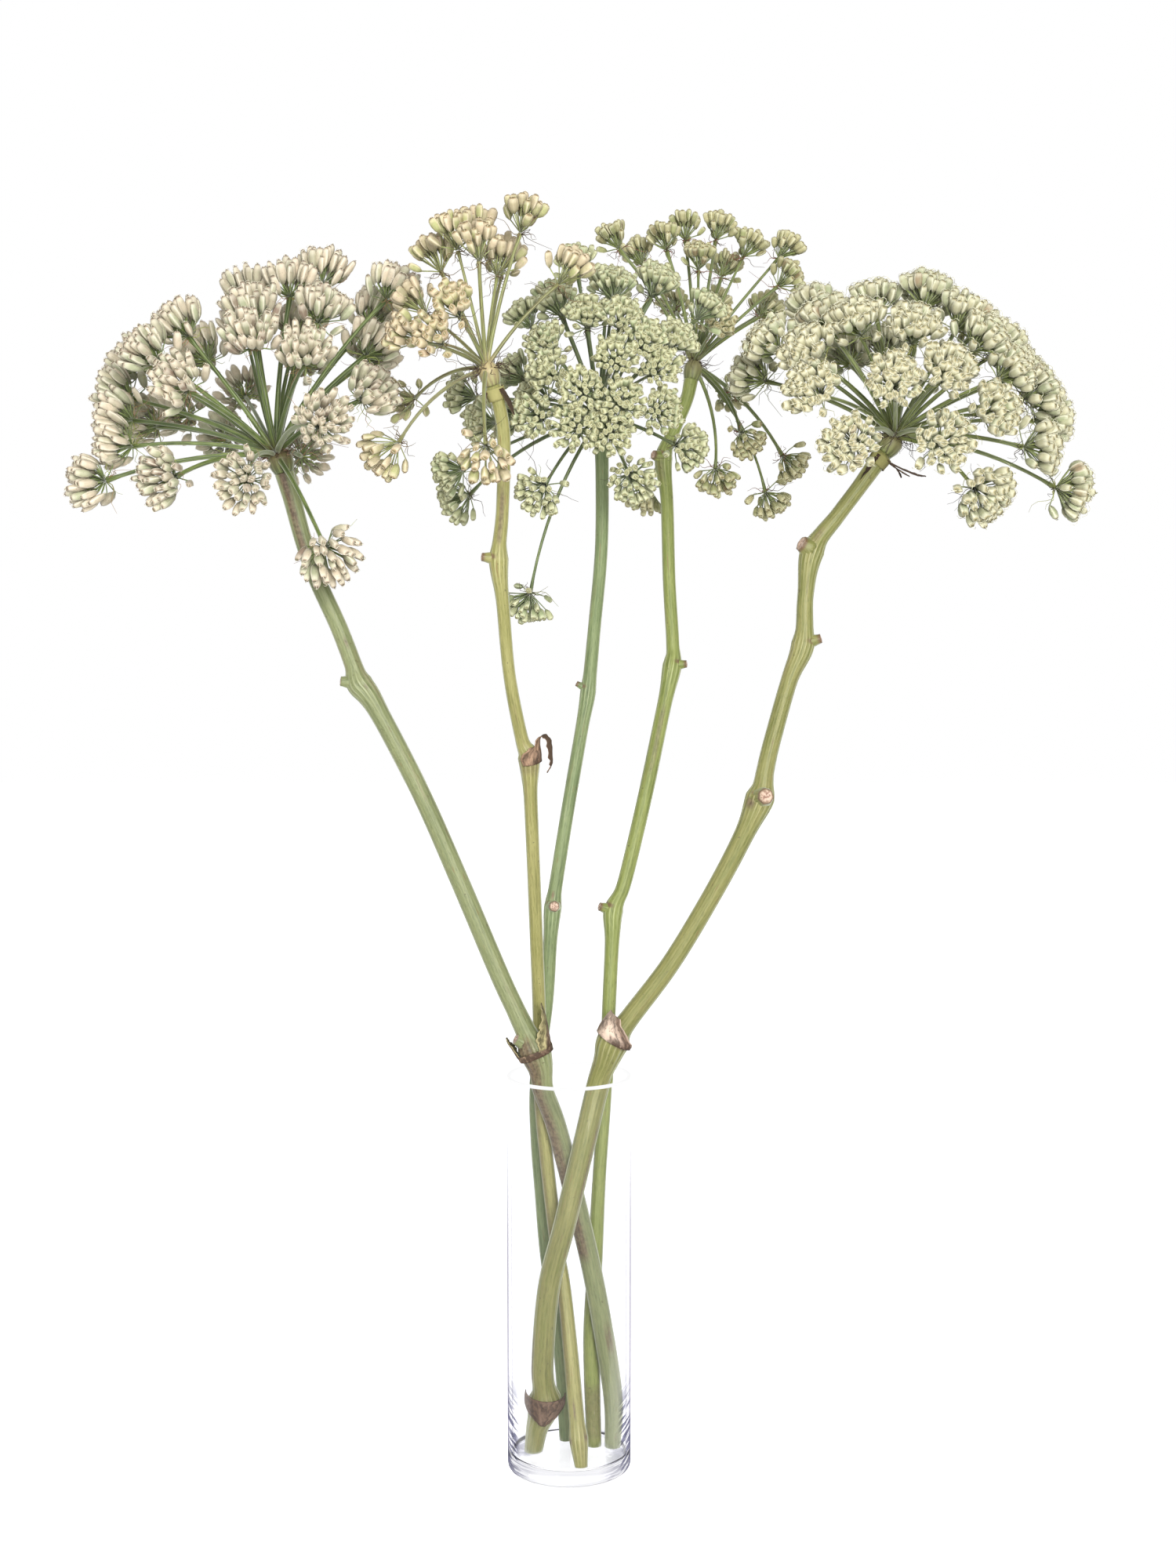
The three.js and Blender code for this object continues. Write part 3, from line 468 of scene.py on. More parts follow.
def add_tubes(shape, paths, radii, sides, frames=None, **values):
    """Closed tubes along paths (tubes, points, 3), with radii that spread over (tubes, points, sides)."""
    size = (*paths.shape[:2], sides)
    side, front = frames if frames else carried_across(tangents(paths))
    out = ring_of(side[:, :, None], front[:, :, None], angles(sides))
    points = paths[:, :, None] + out * np.broadcast_to(radii, size)[..., None]
    for name, value in values.items():
        more = value_shape(name)
        values[name] = np.broadcast_to(value, (*size, *more)).reshape(-1, *more)
    shape.add(points, tube_faces(*size), **values)


def round_points(radius, angle, run, seed=0):
    """Points round the Z axis at a radius, angle and height. The seed moves them aside."""
    around = (np.cos(angle) * radius + seed, np.sin(angle) * radius + seed)
    return np.stack(np.broadcast_arrays(*around, run), axis=-1)


# Places of the stems, hubs, rays and umbellets, worked out as the solids have them

def stem_points(stem):
    return floats(stem["path"])[:, :3]


def umbellets_seen(umbel):
    places = []
    for right, up, toward in umbel["rays"]:
        left = umbel["reach"] ** 2 - right ** 2 - up ** 2
        places.append(np.array([right, -toward * math.sqrt(max(left, 0)), up]))
    return places


def umbellet_balls(names):
    """Middles and radii of the umbellets that the viewer sees of some heads."""
    balls = []
    for name in names:
        umbel = UMBELS[name]
        for place in umbellets_seen(umbel):
            balls.append((place + umbel["hub"], umbel["umbellet"] * UMBELLET_GIRTH))
    return balls


def balls_outside(name):
    """What stands near a head: the other heads' umbellets, the middles of their rays, and all stems."""
    others = [other for other in UMBELS if other != name]
    balls = umbellet_balls(others)
    for other in others:
        for place in umbellets_seen(UMBELS[other]):
            balls.append((place * 0.5 + UMBELS[other]["hub"], RAY_ROOT))
    for stem in STEMS.values():
        points = stem_points(stem)
        for i in range(STEM_POINTS + 1):
            balls.append((curve_point(points, i / STEM_POINTS * (len(points) - 1)), STEM_ROOM))
    return balls


def is_clear(middle, radius, balls):
    return all(np.linalg.norm(point - middle) >= radius + other + OTHER_ROOM for point, other in balls)


def is_hidden(middle, balls):
    sight = middle - VIEWER
    far = np.linalg.norm(sight)
    for point, radius in balls:
        near = point - VIEWER
        beside = np.linalg.norm(np.cross(near, sight)) / far
        if np.linalg.norm(near) < far and beside < BACK_HIDDEN / UMBELLET_GIRTH * radius:
            return True
    return False


def umbellets_behind(name):
    """Umbellets of the far side, spread by the golden angle wherever there is room."""
    umbel = UMBELS[name]
    axis = unit(floats(umbel["axis"]))
    side, front = across(axis)
    outside, fronts = balls_outside(name), umbellet_balls(UMBELS)
    taken, found = umbellets_seen(umbel), []
    for i in range(BACK_TRIES):
        if len(found) == umbel["back"]:
            break
        lean = math.acos(1 - (i + 0.5) / BACK_TRIES * (1 - math.cos(BACK_LEAN)))
        turn = i * GOLDEN_ANGLE
        ring = (side * math.cos(turn) + front * math.sin(turn)) * math.sin(lean)
        place = (ring + axis * math.cos(lean)) * umbel["reach"] * BACK_REACH
        middle = place + umbel["hub"]
        is_free = all(np.linalg.norm(other - place) >= BACK_ROOM * umbel["umbellet"] for other in taken)
        if place[1] <= 0 or not is_free or not is_hidden(middle, fronts):
            continue
        if is_clear(middle, umbel["umbellet"] * UMBELLET_GIRTH, outside):
            found.append(place)
            taken.append(place)
    return found


# Materials

def scaled(colour, factor, more=0.0):
    return tuple(min(1.0, c * factor + more) for c in colour)


class Nodes:
    """A node tree, built by short calls that return sockets."""

    def __init__(self, tree):
        self.tree = tree

    def put(self, socket, value):
        if isinstance(value, bpy.types.NodeSocket):
            self.tree.links.new(value, socket)
        elif isinstance(value, tuple) and len(value) == 3 and socket.type == "RGBA":
            socket.default_value = (*value, 1)
        else:
            socket.default_value = value

    def node(self, kind, inputs=None, output=0, **settings):
        made = self.tree.nodes.new("ShaderNode" + kind)
        for name, value in settings.items():
            setattr(made, name, value)
        for key, value in (inputs or {}).items():
            self.put(made.inputs[key], value)
        return made.outputs[output]

    def value(self, name):
        output = "Vector" if value_shape(name) else "Fac"
        return self.node("Attribute", output=output, attribute_name=name)

    def noise(self, vector, scale, detail=3.0, roughness=0.55):
        inputs = {"Vector": vector, "Scale": scale, "Detail": detail, "Roughness": roughness}
        return self.node("TexNoise", inputs, "Fac")

    def stretched(self, vector, scales):
        return self.node("VectorMath", {0: vector, 1: scales}, operation="MULTIPLY")

    def ranged(self, value, low, high, to_low=0.0, to_high=1.0, steps="SMOOTHSTEP"):
        inputs = dict(enumerate((value, low, high, to_low, to_high)))
        return self.node("MapRange", inputs, interpolation_type=steps)

    def maths(self, operation, a, b=0.0):
        return self.node("Math", {0: a, 1: b}, operation=operation)

    def product(self, result, *others):
        for other in others:
            result = self.maths("MULTIPLY", result, other)
        return result

    def mix(self, share, a, b):
        return self.node("Mix", {0: share, 6: a, 7: b}, 2, data_type="RGBA")

    def layered(self, colour, *layers):
        """A colour with others laid over it in turn, each by its share."""
        for share, other in layers:
            colour = self.mix(share, colour, other)
        return colour

    def split(self, vector):
        return self.node("SeparateXYZ", {0: vector}).node.outputs

    def rays(self):
        return self.node("LightPath").node.outputs

    def places(self):
        return self.node("TexCoord", output="Object")

    def facing(self):
        return self.node("LayerWeight", output="Facing")


class Finish(Nodes):
    """A new material and its one surface shader."""

    def __init__(self, name, roughness, specular=0.3):
        self.material = bpy.data.materials.new(name)
        self.material.use_nodes = True
        super().__init__(self.material.node_tree)
        self.shader = self.tree.nodes["Principled BSDF"]
        self.feed({"Roughness": roughness, "Specular IOR Level": specular})

    def feed(self, values):
        for name, value in values.items():
            self.put(self.shader.inputs[name], value)

    # A share of painted rim light: it grows on edges seen at a grazing angle, standing in for light from the
    # bright surroundings
    def painted_edge_light(self, low, high, most):
        return self.ranged(self.facing(), low, high, 0, most)

    def bump(self, height, strength, distance):
        inputs = {"Strength": strength, "Distance": distance, "Height": height}
        self.feed({"Normal": self.node("Bump", inputs)})

    def finished(self, colour):
        self.feed({"Base Color": colour})
        return self.material


def seed_material(name, umbel):
    """Dry seed skins: cream, grey-green or brown, each a shade of its own, with pale wings and a tan tip.
    Painted shade darkens each seed towards its stalk, and a painted rim light pales its edges seen at a
    grazing angle.
    """
    cream, green, brown, tip, rim = umbel["seed_colours"].values()
    dim = scaled(green, 0.45)
    m = Finish(f"{name}_seed", 0.65, 0.22)
    places, hue, rise, disc = m.places(), m.value("hue"), m.value("rise"), m.value("disc")
    m.bump(m.noise(places, 1300), 0.35, 0.0005)
    return m.finished(m.layered(
        green,
        (m.ranged(hue, 0.3, 0.6), cream),
        (m.ranged(hue, 0.06, 0.16, 1, 0), brown),
        (m.ranged(m.value("tone"), 0.0, 0.9, 0.5, 0), dim),
        (m.ranged(m.noise(places, 330), 0.5, 0.75, 0, 0.5), green),
        # Painted shade: each seed darker towards its stalk, where the seeds crowd together and shade each
        # other
        (m.ranged(rise, 0.05, 0.42, 0.8, 0), dim),
        (m.ranged(m.value("rib"), 0.35, 1.0, 0, 0.7), rim),
        (m.ranged(m.noise(places, 900, 1), 0.66, 0.72, 0, 0.6), brown),
        # Painted rim light: the pale rim colour on edges seen at a grazing angle
        (m.painted_edge_light(0.5, 0.9, 0.7), rim),
        (m.ranged(rise, 0.6, 0.84, 0, 0.4), rim),
        (m.ranged(rise, 0.87, 0.94, 0, 0.85), tip),
        (m.ranged(disc, 0.1, 0.5, 0, 0.85), dim),
        (m.ranged(disc, 0.65, 0.9, 0, 0.8), tip),
    ))


def ray_material(name, umbel):
    """Green stalks, each a shade of its own, streaked along their length and paler along their ribs, with a
    painted pale rim light on edges seen at a grazing angle.
    """
    dark, light = umbel["ray_colours"]
    m = Finish(f"{name}_stalk", 0.5, 0.45)
    m.feed({"Sheen Weight": 0.2, "Sheen Roughness": 0.35})
    grain = m.value("grain")
    m.bump(m.noise(grain, 3), 0.4, 0.0003)
    return m.finished(m.layered(
        dark,
        (m.ranged(m.noise(grain, 1.1), 0.36, 0.64), light),
        (m.ranged(m.value("tone"), 0.0, 1.0, 0.6, 0), dark),
        (m.ranged(m.value("rib"), 0.5, 1.0, 0, 0.45), scaled(light, 1.35, 0.03)),
        (m.ranged(m.value("scar"), 0.1, 1.0, 0, 0.75), umbel["hub_colour"]),
        # Painted rim light: pale green on edges seen at a grazing angle
        (m.painted_edge_light(0.5, 0.95, 0.6), (0.55, 0.58, 0.36)),
    ))


def stem_material(name, stem):
    """Waxy ribbed stem skin: pale along its ribs, with streaks, brown stains, dark dots and scars, and a
    painted pale rim light on edges seen at a grazing angle.
    """
    green, tint = stem["green"], stem["tint"]
    deep = scaled(green, 0.6)
    m = Finish(f"{name}_skin", 0.5, 0.4)
    m.feed({"Sheen Weight": 0.22, "Sheen Roughness": 0.3})
    places, grain, rib = m.places(), m.value("grain"), m.value("rib")
    m.bump(m.noise(grain, 1.6, 4), 0.45, 0.0005)
    lined = m.product(m.value("joint"), m.ranged(rib, 0.55, 0.95, 0, 0.75))
    patch = m.product(m.value("stain"), m.ranged(m.noise(grain, 0.8, 5, 0.7), 0.3, 0.52, 0.35, 1))
    bark = m.mix(m.ranged(m.noise(places, 420, 4), 0.4, 0.62), (0.17, 0.12, 0.072), (0.085, 0.055, 0.034))
    cut_end = m.mix(m.ranged(m.noise(places, 600, 3), 0.42, 0.6), (0.58, 0.42, 0.32), (0.27, 0.16, 0.11))
    return m.finished(m.layered(
        green,
        (m.ranged(m.noise(grain, 0.3, 4), 0.36, 0.66), tint),
        (m.ranged(m.noise(grain, 0.16, 3), 0.55, 0.68, 0, 0.55), deep),
        (m.ranged(m.noise(grain, 1.7, 3), 0.46, 0.62, 0, 0.6), tint),
        (m.ranged(m.noise(grain, 2.6, 2), 0.54, 0.64, 0, 0.55), deep),
        (m.ranged(rib, 0.3, 1.0, 0, 0.45), tint),
        (lined, scaled(tint, 1.2, 0.07)),
        (m.ranged(m.noise(grain, 0.13, 5, 0.65), 0.58, 0.74, 0, 0.45), (0.22, 0.16, 0.08)),
        (m.ranged(m.noise(grain, 0.45, 4, 0.6), 0.7, 0.76, 0, 0.5), (0.52, 0.50, 0.40)),
        # Painted rim light: pale grey-green on edges seen at a grazing angle
        (m.painted_edge_light(0.35, 0.95, 0.7), (0.62, 0.66, 0.46)),
        (patch, bark),
        (m.ranged(m.noise(places, 260, 2), 0.70, 0.74, 0, 0.7), (0.10, 0.085, 0.04)),
        (m.ranged(m.noise(grain, 0.75, 2), 0.685, 0.72, 0, 0.6), (0.20, 0.12, 0.05)),
        (m.ranged(m.value("scar"), 0.0, 0.9, 0, 0.9), (0.14, 0.08, 0.045)),
        (m.value("cut"), cut_end),
    ))


def dry_material(name, brown, fresh):
    """Papery dry leaf, veined along its length, blotched, and darker towards its edges."""
    dark, pale = scaled(brown, 0.35), scaled(brown, 1.7, 0.02)
    m = Finish(f"{name}_dry", 0.75, 0.25)
    grain, dusk = m.value("grain"), m.value("dusk")
    vein = m.noise(grain, 1.3, 4)
    m.bump(vein, 0.7, 0.0008)
    bark = m.layered(
        (0.075, 0.05, 0.035),
        (m.ranged(vein, 0.42, 0.6), (0.20, 0.13, 0.09)),
        (m.ranged(m.noise(grain, 2.2, 2), 0.6, 0.66, 0, 0.75), (0.36, 0.25, 0.16)),
    )
    torn = m.product(m.value("hem"), m.ranged(m.noise(grain, 0.7, 3), 0.35, 0.5))
    return m.finished(m.layered(
        dark,
        (m.ranged(vein, 0.38, 0.62), brown),
        (m.ranged(m.noise(grain, 0.45, 3), 0.48, 0.66), pale),
        (m.ranged(m.noise(m.places(), 500, 3), 0.56, 0.66, 0, 0.7), dark),
        (m.ranged(dusk, 0.35, 0.75, 0, 0.95), bark),
        (m.ranged(m.value("edge"), 0.82, 1.0, 0, 0.7), pale),
        (m.ranged(dusk, -2, -3, 0, 0.9), fresh),
        (m.value("inner"), scaled(brown, 0.3)),
        (torn, (0.07, 0.04, 0.025)),
    ))


def thread_material(name, umbel):
    """Fine threads: pale styles on the seeds, and bracteoles from yellow-green to brown."""
    fresh, dry = umbel["thread_colours"]
    m = Finish(f"{name}_thread", 0.65, 0.3)
    m.bump(m.noise(m.places(), 900), 0.2, 0.0002)
    tone = m.value("tone")
    return m.finished(m.layered(
        dry,
        (m.ranged(tone, 0.3, 0.55), fresh),
        (m.ranged(tone, -0.1, -0.4, 0, 0.9), (0.07, 0.045, 0.03)),
        (m.ranged(tone, 0.9, 1.1), umbel["seed_colours"]["rim"]),
    ))


# Where the glass shows its painted reflections and painted rim highlight, in metres: heights, and distances
# to either side.
# The turns are shares of how far the surface turns away from the viewer
# Heights of the glowing white band at the rim, a painted highlight
RIM_HIGHLIGHT_BAND = (0.3006, 0.301)
LINE_TURN, LINE_FADE, LINE_SIDES = (0.72, 0.92), (0.29, 0.15), (0.04, 0.0435)
DASH_TURN, DASH_FADE, DASH_SIDES, DASH_FRONT = (0.2, 0.36), (0.085, 0.045), (0.036, 0.0405), (0.004, -0.004)
DASH_SLANT, DASH_STRETCH = -0.7, (70, 1, 230)
BASE_TURN, BASE_FADE, BASE_SIDES = (0.0, 0.1), (0.0145, 0.0125), (0.02, 0.042)
BASE_STRETCH = (38, 38, 700)


def glass_material():
    """Clear glass that lets light in, with a glowing white rim painted as its highlight, and thin side
    lines, dashes low down at its sides and streaks in its base painted in as dark reflections.
    """
    m = Finish("vase_glass", 0.0)
    m.tree.nodes.remove(m.shader)
    x, y, height = m.split(m.places())
    turned = m.facing()
    sideways = m.maths("ABSOLUTE", x)
    # Painted reflections: thin dark lines down the sides where the glass turns away
    lines = m.product(
        m.ranged(turned, *LINE_TURN), m.ranged(height, *LINE_FADE), m.ranged(sideways, *LINE_SIDES),
    )
    # Painted reflections: slanted dark dashes low down at the sides
    lean = m.maths("ADD", height, m.product(sideways, DASH_SLANT))
    slanted = m.stretched(m.node("CombineXYZ", {"X": x, "Z": lean}), DASH_STRETCH)
    dashes = m.product(
        m.ranged(m.noise(slanted, 1.0, 2), 0.48, 0.53), m.ranged(height, *DASH_FADE),
        m.ranged(sideways, *DASH_SIDES, 0, 0.9), m.ranged(turned, *DASH_TURN), m.ranged(y, *DASH_FRONT),
    )
    # Painted reflections: dark streaks in the thick base, towards its sides
    flat = m.stretched(m.places(), BASE_STRETCH)
    base = m.product(
        m.ranged(m.noise(flat, 1.0, 3), 0.42, 0.6), m.ranged(height, *BASE_FADE),
        m.ranged(sideways, *BASE_SIDES, 0.02, 0.85), m.ranged(turned, *BASE_TURN),
    )
    # The glass's own clear tint, with the painted dark reflections laid over it
    colour = m.layered(
        (0.985, 0.985, 0.995),
        (lines, (0.34, 0.32, 0.43)),
        (dashes, (0.17, 0.17, 0.27)),
        (base, (0.24, 0.24, 0.33)),
    )
    glass = m.node("BsdfGlass", {"Color": colour, "Roughness": 0.0, "IOR": 1.46})
    # A white glow at the rim: a painted highlight
    white = m.node("Emission", {"Color": (1, 1, 1)})
    glass_with_painted_rim = m.node("MixShader", {0: m.ranged(height, *RIM_HIGHLIGHT_BAND, 0, 0.95), 1: glass, 2: white})
    rays = m.rays()
    lighting = m.maths("MAXIMUM", rays["Is Shadow Ray"], rays["Is Diffuse Ray"])
    last = m.node("MixShader", {0: lighting, 1: glass_with_painted_rim, 2: m.node("BsdfTransparent")})
    m.put(m.tree.nodes["Material Output"].inputs["Surface"], last)
    return m.material


# The vase

VASE_SIDES, ROUND_STEPS = 128, 5
WALL_START = 0.5
# The floor's two flat faces have one ring more, at this share of their radius
FLOOR_RING = 0.5


def arc(centre_x, centre_z, radius, start, end):
    turns = np.radians(np.linspace(start, end, ROUND_STEPS))
    return [(centre_x + radius * math.cos(a), centre_z + radius * math.sin(a)) for a in turns]


def make_vase():
    """Closed glass, turned from one profile that runs up the outside and down the inside."""
    inner, top = VASE_RADIUS - VASE_WALL, VASE_HEIGHT - RIM_ROUND
    low = VASE_FLOOR + FLOOR_ROUND
    profile = floats([
        (VASE_RADIUS * FLOOR_RING, 0),
        *arc(VASE_RADIUS - FOOT_ROUND, FOOT_ROUND, FOOT_ROUND, -90, 0),
        (VASE_RADIUS, FOOT_ROUND + WALL_START),
        (VASE_RADIUS, top - WALL_START),
        *arc(VASE_RADIUS - RIM_ROUND, top, RIM_ROUND, 0, 90),
        *arc(inner + RIM_ROUND, top, RIM_ROUND, 90, 180),
        (inner, top - WALL_START),
        (inner, low + WALL_START),
        *arc(inner - FLOOR_ROUND, low, FLOOR_ROUND, 0, -90),
        (inner * FLOOR_RING, VASE_FLOOR),
    ])
    points = round_points(profile[:, :1], angles(VASE_SIDES), profile[:, 1:])
    shape = Shape()
    shape.add(points, tube_faces(1, len(profile), VASE_SIDES))
    return shape.made("vase_glass", glass_material())


# The stems

FACES_A_RIB = 4
# Millimetres from ring to ring, away from joints and within reach of them
STEM_STEP, JOINT_STEP, JOINT_REACH = 5.0, 1.5, 26
RIB_DEPTH, DEEPER_AT_JOINT = 0.03, 1.2
# The brown line above a joint's ridge: how far above, how wide, how far it goes and how deep it is
SCAR_ABOVE, SCAR_WIDTH, SCAR_REACH, SCAR_DEPTH = 2.5, 1.6, 14, 0.25
# How strong that line is at the least, and how it grows towards a stub
SCAR_LEAST, SCAR_GROWTH, SCAR_START = 0.12, 1.6, 0.2
# How steeply a stain fades at its two ends
STAIN_ENDS = 6
# Millimetres along a stem or ray count this much in its streaks, so that the streaks run lengthwise
GRAIN_RUN = 0.07
# A short step along a curve, in its points, to find its direction
NUDGE = 0.01
STUB_FACES = 20
# Rings of a stub, outwards to its cut face: share of its reach, share of its radius, scar and cut
STUB_RINGS = [
    (0.2, 1.6, 0, 0), (0.5, 1.5, 0, 0), (0.75, 1.25, 0.1, 0), (0.9, 1.1, 0.7, 0),
    (0.97, 1.1, 0.95, 0), (1.0, 0.96, 0.8, 0.3), (0.99, 0.7, 0.15, 1), (0.96, 0.2, 0, 1),
]


def seeded(name):
    return np.random.RandomState(sum(map(ord, name)))


def stem_places(points, joints):
    """Places along a stem for its rings: close together round a joint and wider apart elsewhere."""
    places, place = [0.0], 0.0
    last = len(points) - 1
    centres = [points[index] for index, _ in joints]
    while place < last:
        here = curve_point(points, place)
        step = curve_point(points, min(place + NUDGE, last)) - here
        speed = np.linalg.norm(step) / NUDGE
        near = min(np.linalg.norm(here - centre) for centre in centres)
        place += (JOINT_STEP if near < JOINT_REACH else STEM_STEP) / max(speed, 1)
        places.append(min(place, last))
    return np.array(places)


def joints_along(stem, points, path):
    """How far each ring of a stem swells, how close it is to a joint, and how much it is scarred."""
    factor, joint, scar = np.ones(len(path)), np.zeros(len(path)), np.zeros(len(path))
    for index, swell in stem["joints"]:
        centre = points[index]
        ahead = unit(curve_point(points, index + 0.1) - centre)
        from_joint = (path - centre) @ ahead
        far = np.linalg.norm(path - centre, axis=1)
        close = bell(far, np.where(from_joint < 0, SWELL_BELOW, SWELL_ABOVE))
        factor += swell * close
        joint = np.maximum(joint, close)
        scar = np.maximum(scar, bell(from_joint - SCAR_ABOVE, SCAR_WIDTH) * (far < SCAR_REACH))
    return factor, joint, scar


def stains_on(stem, places, angle):
    stain = np.zeros((len(places), len(angle)))
    for first, last, middle, width, strength in stem["stains"]:
        inside = np.clip((places - first) * STAIN_ENDS, 0, 1) * np.clip((last - places) * STAIN_ENDS, 0, 1)
        away = (np.degrees(angle) - middle + 180) % 360 - 180
        stain = np.maximum(stain, strength * inside[:, None] * np.exp(-(away / width) ** 4))
    return stain


def scars_by_stubs(stem, points, path, around):
    """How strong a joint's scar is on each side of a stem: it is strongest where a stub stands."""
    strength = np.full(around.shape[:2], SCAR_LEAST)
    for index, way, _, _ in stem["stubs"]:
        near = np.linalg.norm(path - points[index], axis=1) < JOINT_REACH
        turned = around @ unit(floats(way))
        strength[near] = np.clip(turned[near] * SCAR_GROWTH - SCAR_START, SCAR_LEAST, 1)
    return strength


def make_stem(name):
    """One ribbed rod with swollen joints, and the cut stubs on it."""
    stem = STEMS[name]
    points = stem_points(stem)
    places = stem_places(points, stem["joints"])
    path = np.array([curve_point(points, place) for place in places])
    radius = np.interp(places, np.arange(len(points)), floats(stem["path"])[:, 3])
    along = tangents(path[None])
    along[0, 0] = UP
    side, front = across(along)
    length = np.concatenate(([0], np.cumsum(np.linalg.norm(np.diff(path, axis=0), axis=1))))
    factor, joint, scar = joints_along(stem, points, path)
    angle = angles(stem["ribs"] * FACES_A_RIB)
    rib = 0.5 + 0.5 * np.cos(angle * stem["ribs"])
    depth = RIB_DEPTH * (1 + DEEPER_AT_JOINT * joint)
    radii = (radius * factor)[:, None] * (1 - depth[:, None] * (1 - rib)) - SCAR_DEPTH * scar[:, None]
    around = ring_of(side[0, :, None], front[0, :, None], angle)
    scars = scar[:, None] * scars_by_stubs(stem, points, path, around)
    shape = Shape("grain", "rib", "joint", "scar", "cut", "stain")
    add_tubes(
        shape, path[None], radii[None], len(angle), frames=(side, front),
        grain=round_points(radius[:, None], angle, length[:, None] * GRAIN_RUN)[None],
        rib=rib, joint=joint[None, :, None], scar=scars[None] * stem["brown"], cut=0.0,
        stain=stains_on(stem, places, angle)[None],
    )
    random = seeded(name)
    for stub in stem["stubs"]:
        add_stub(shape, stem, stub, random)
    return shape.made(f"{name}_ribbed", stem_material(name, stem))


def add_stub(shape, stem, stub, random):
    """The cut stub of a side branch: a short flared collar with a brown rim and a pale cut face."""
    index, way, length, radius = stub
    swell = dict(stem["joints"])[index]
    reach = stem["path"][index][3] * (1 + swell) + length
    along = unit(floats(way))
    heights, shares, scar, cut = floats(STUB_RINGS).T
    heights = heights * reach
    path = stem_points(stem)[index] + along * heights[:, None]
    angle = angles(STUB_FACES)
    uneven = 1 + 0.05 * np.cos(angle * 7 + random.rand() * 6) + 0.03 * random.rand(STUB_FACES)
    add_tubes(
        shape, path[None], (shares * radius)[:, None] * uneven, STUB_FACES,
        frames=across(np.broadcast_to(along, (1, len(heights), 3))),
        grain=round_points(radius, angle, heights[:, None] * GRAIN_RUN)[None],
        rib=0.5, joint=0.5, scar=(scar * stem["brown"])[None, :, None], cut=cut[None, :, None],
    )


# Dry sheaths and bracts

SHEET_THICK, SHEET_ROWS, SHEET_COLUMNS = 0.6, 5, 14
SHEET_VALUES = ("grain", "edge", "inner", "hem", "dusk")
# Millimetres in which a sheet's dark hem fades, how strong it starts, and how much the sheet crumples
HEM, HEM_START, CRUMPLE = 5.0, 1.4, 0.3
# Degrees that a torn edge may go in: of a sheath, of a collar of bracts and of a strip
RAGGED_SHEATH, RAGGED_COLLAR, RAGGED_STRIP = 9, 12, 4
# Millimetres from the stem to the inside of its bracts
BRACT_GAP = 0.35


def smooth_rows(rows):
    """More rows of a sheet, on smooth curves through the given ones."""
    rows = floats(rows)
    places = np.linspace(0, len(rows) - 1, (len(rows) - 1) * SHEET_ROWS + 1)
    return np.array([curve_point(rows, place) for place in places])


def sheet_faces(count):
    """Quads of a closed sheet of count rows: its outside, its inside and its four edges."""
    outer = np.arange(count * SHEET_COLUMNS).reshape(count, SHEET_COLUMNS)
    inner = outer + outer.size
    return [
        quads(outer[:-1, :-1], outer[:-1, 1:], outer[1:, 1:], outer[1:, :-1]),
        quads(inner[:-1, :-1], inner[1:, :-1], inner[1:, 1:], inner[:-1, 1:]),
        quads(outer[0, 1:], outer[0, :-1], inner[0, :-1], inner[0, 1:]),
        quads(outer[-1, :-1], outer[-1, 1:], inner[-1, 1:], inner[-1, :-1]),
        quads(outer[:-1, 0], outer[1:, 0], inner[1:, 0], inner[:-1, 0]),
        quads(outer[1:, -1], outer[:-1, -1], inner[:-1, -1], inner[1:, -1]),
    ]


def add_sheet(shape, origin, along, rows, random, ragged, dusk=(0, 0)):
    """A thin dry sheet bent round a line, with torn edges and a slight crumple."""
    rows = smooth_rows(rows)
    count = len(rows)
    rise, spread = np.gradient(rows[:, 0]), np.gradient(rows[:, 1])
    size = np.hypot(rise, spread)
    share = np.linspace(0, 1, SHEET_COLUMNS)
    torn = random.rand(count, 2) * ragged
    start, end = rows[:, 2] + torn[:, 0], rows[:, 3] - torn[:, 1]
    ring = ring_of(*across(along), np.radians(start[:, None] * (1 - share) + end[:, None] * share))
    crumple = CRUMPLE * np.sin(share * 9 + np.arange(count)[:, None] * 0.8 + random.rand() * 6)
    layers = []
    for offset in (0.0, -SHEET_THICK):
        lift = offset + np.abs(crumple) * (np.sin(math.pi * share) * 0.5)
        radius = rows[:, 1:2] + (rise / size)[:, None] * lift
        height = rows[:, 0:1] - (spread / size)[:, None] * lift
        layers.append(origin + along * height[..., None] + ring * radius[..., None])
    run = np.cumsum(size)[:, None]
    grain = np.stack(np.broadcast_arrays(share * 9, 0.0, run * 0.12), axis=-1)
    values = {
        "edge": np.abs(share * 2 - 1), "inner": floats([0, 1])[:, None, None],
        "hem": np.clip(HEM_START - run / HEM, 0, 1) * np.clip(share * 3 - 0.9, 0, 1),
        "dusk": dusk[0] + (dusk[1] - dusk[0]) * share,
    }
    for name, value in values.items():
        values[name] = np.broadcast_to(value, (2, count, SHEET_COLUMNS)).ravel()
    shape.add(np.stack(layers), sheet_faces(count), grain=np.tile(grain.reshape(-1, 3), (2, 1)), **values)


def make_sheath(name):
    """Sheets of a dry leaf that cling to a joint of a stem."""
    sheath = SHEATHS[name]
    stem, at = STEMS[sheath["stem"]], sheath["at"]
    points, random = stem_points(stem), seeded(name)
    along = unit(curve_point(points, at + NUDGE) - curve_point(points, at - NUDGE))
    shape = Shape(*SHEET_VALUES)
    for rows, dusk in zip(sheath["sheets"], sheath["dusk"]):
        add_sheet(shape, points[at], along, rows, random, RAGGED_SHEATH, dusk)
    return shape.made(f"{name}_papery", dry_material(name, sheath["colour"], stem["tint"]))


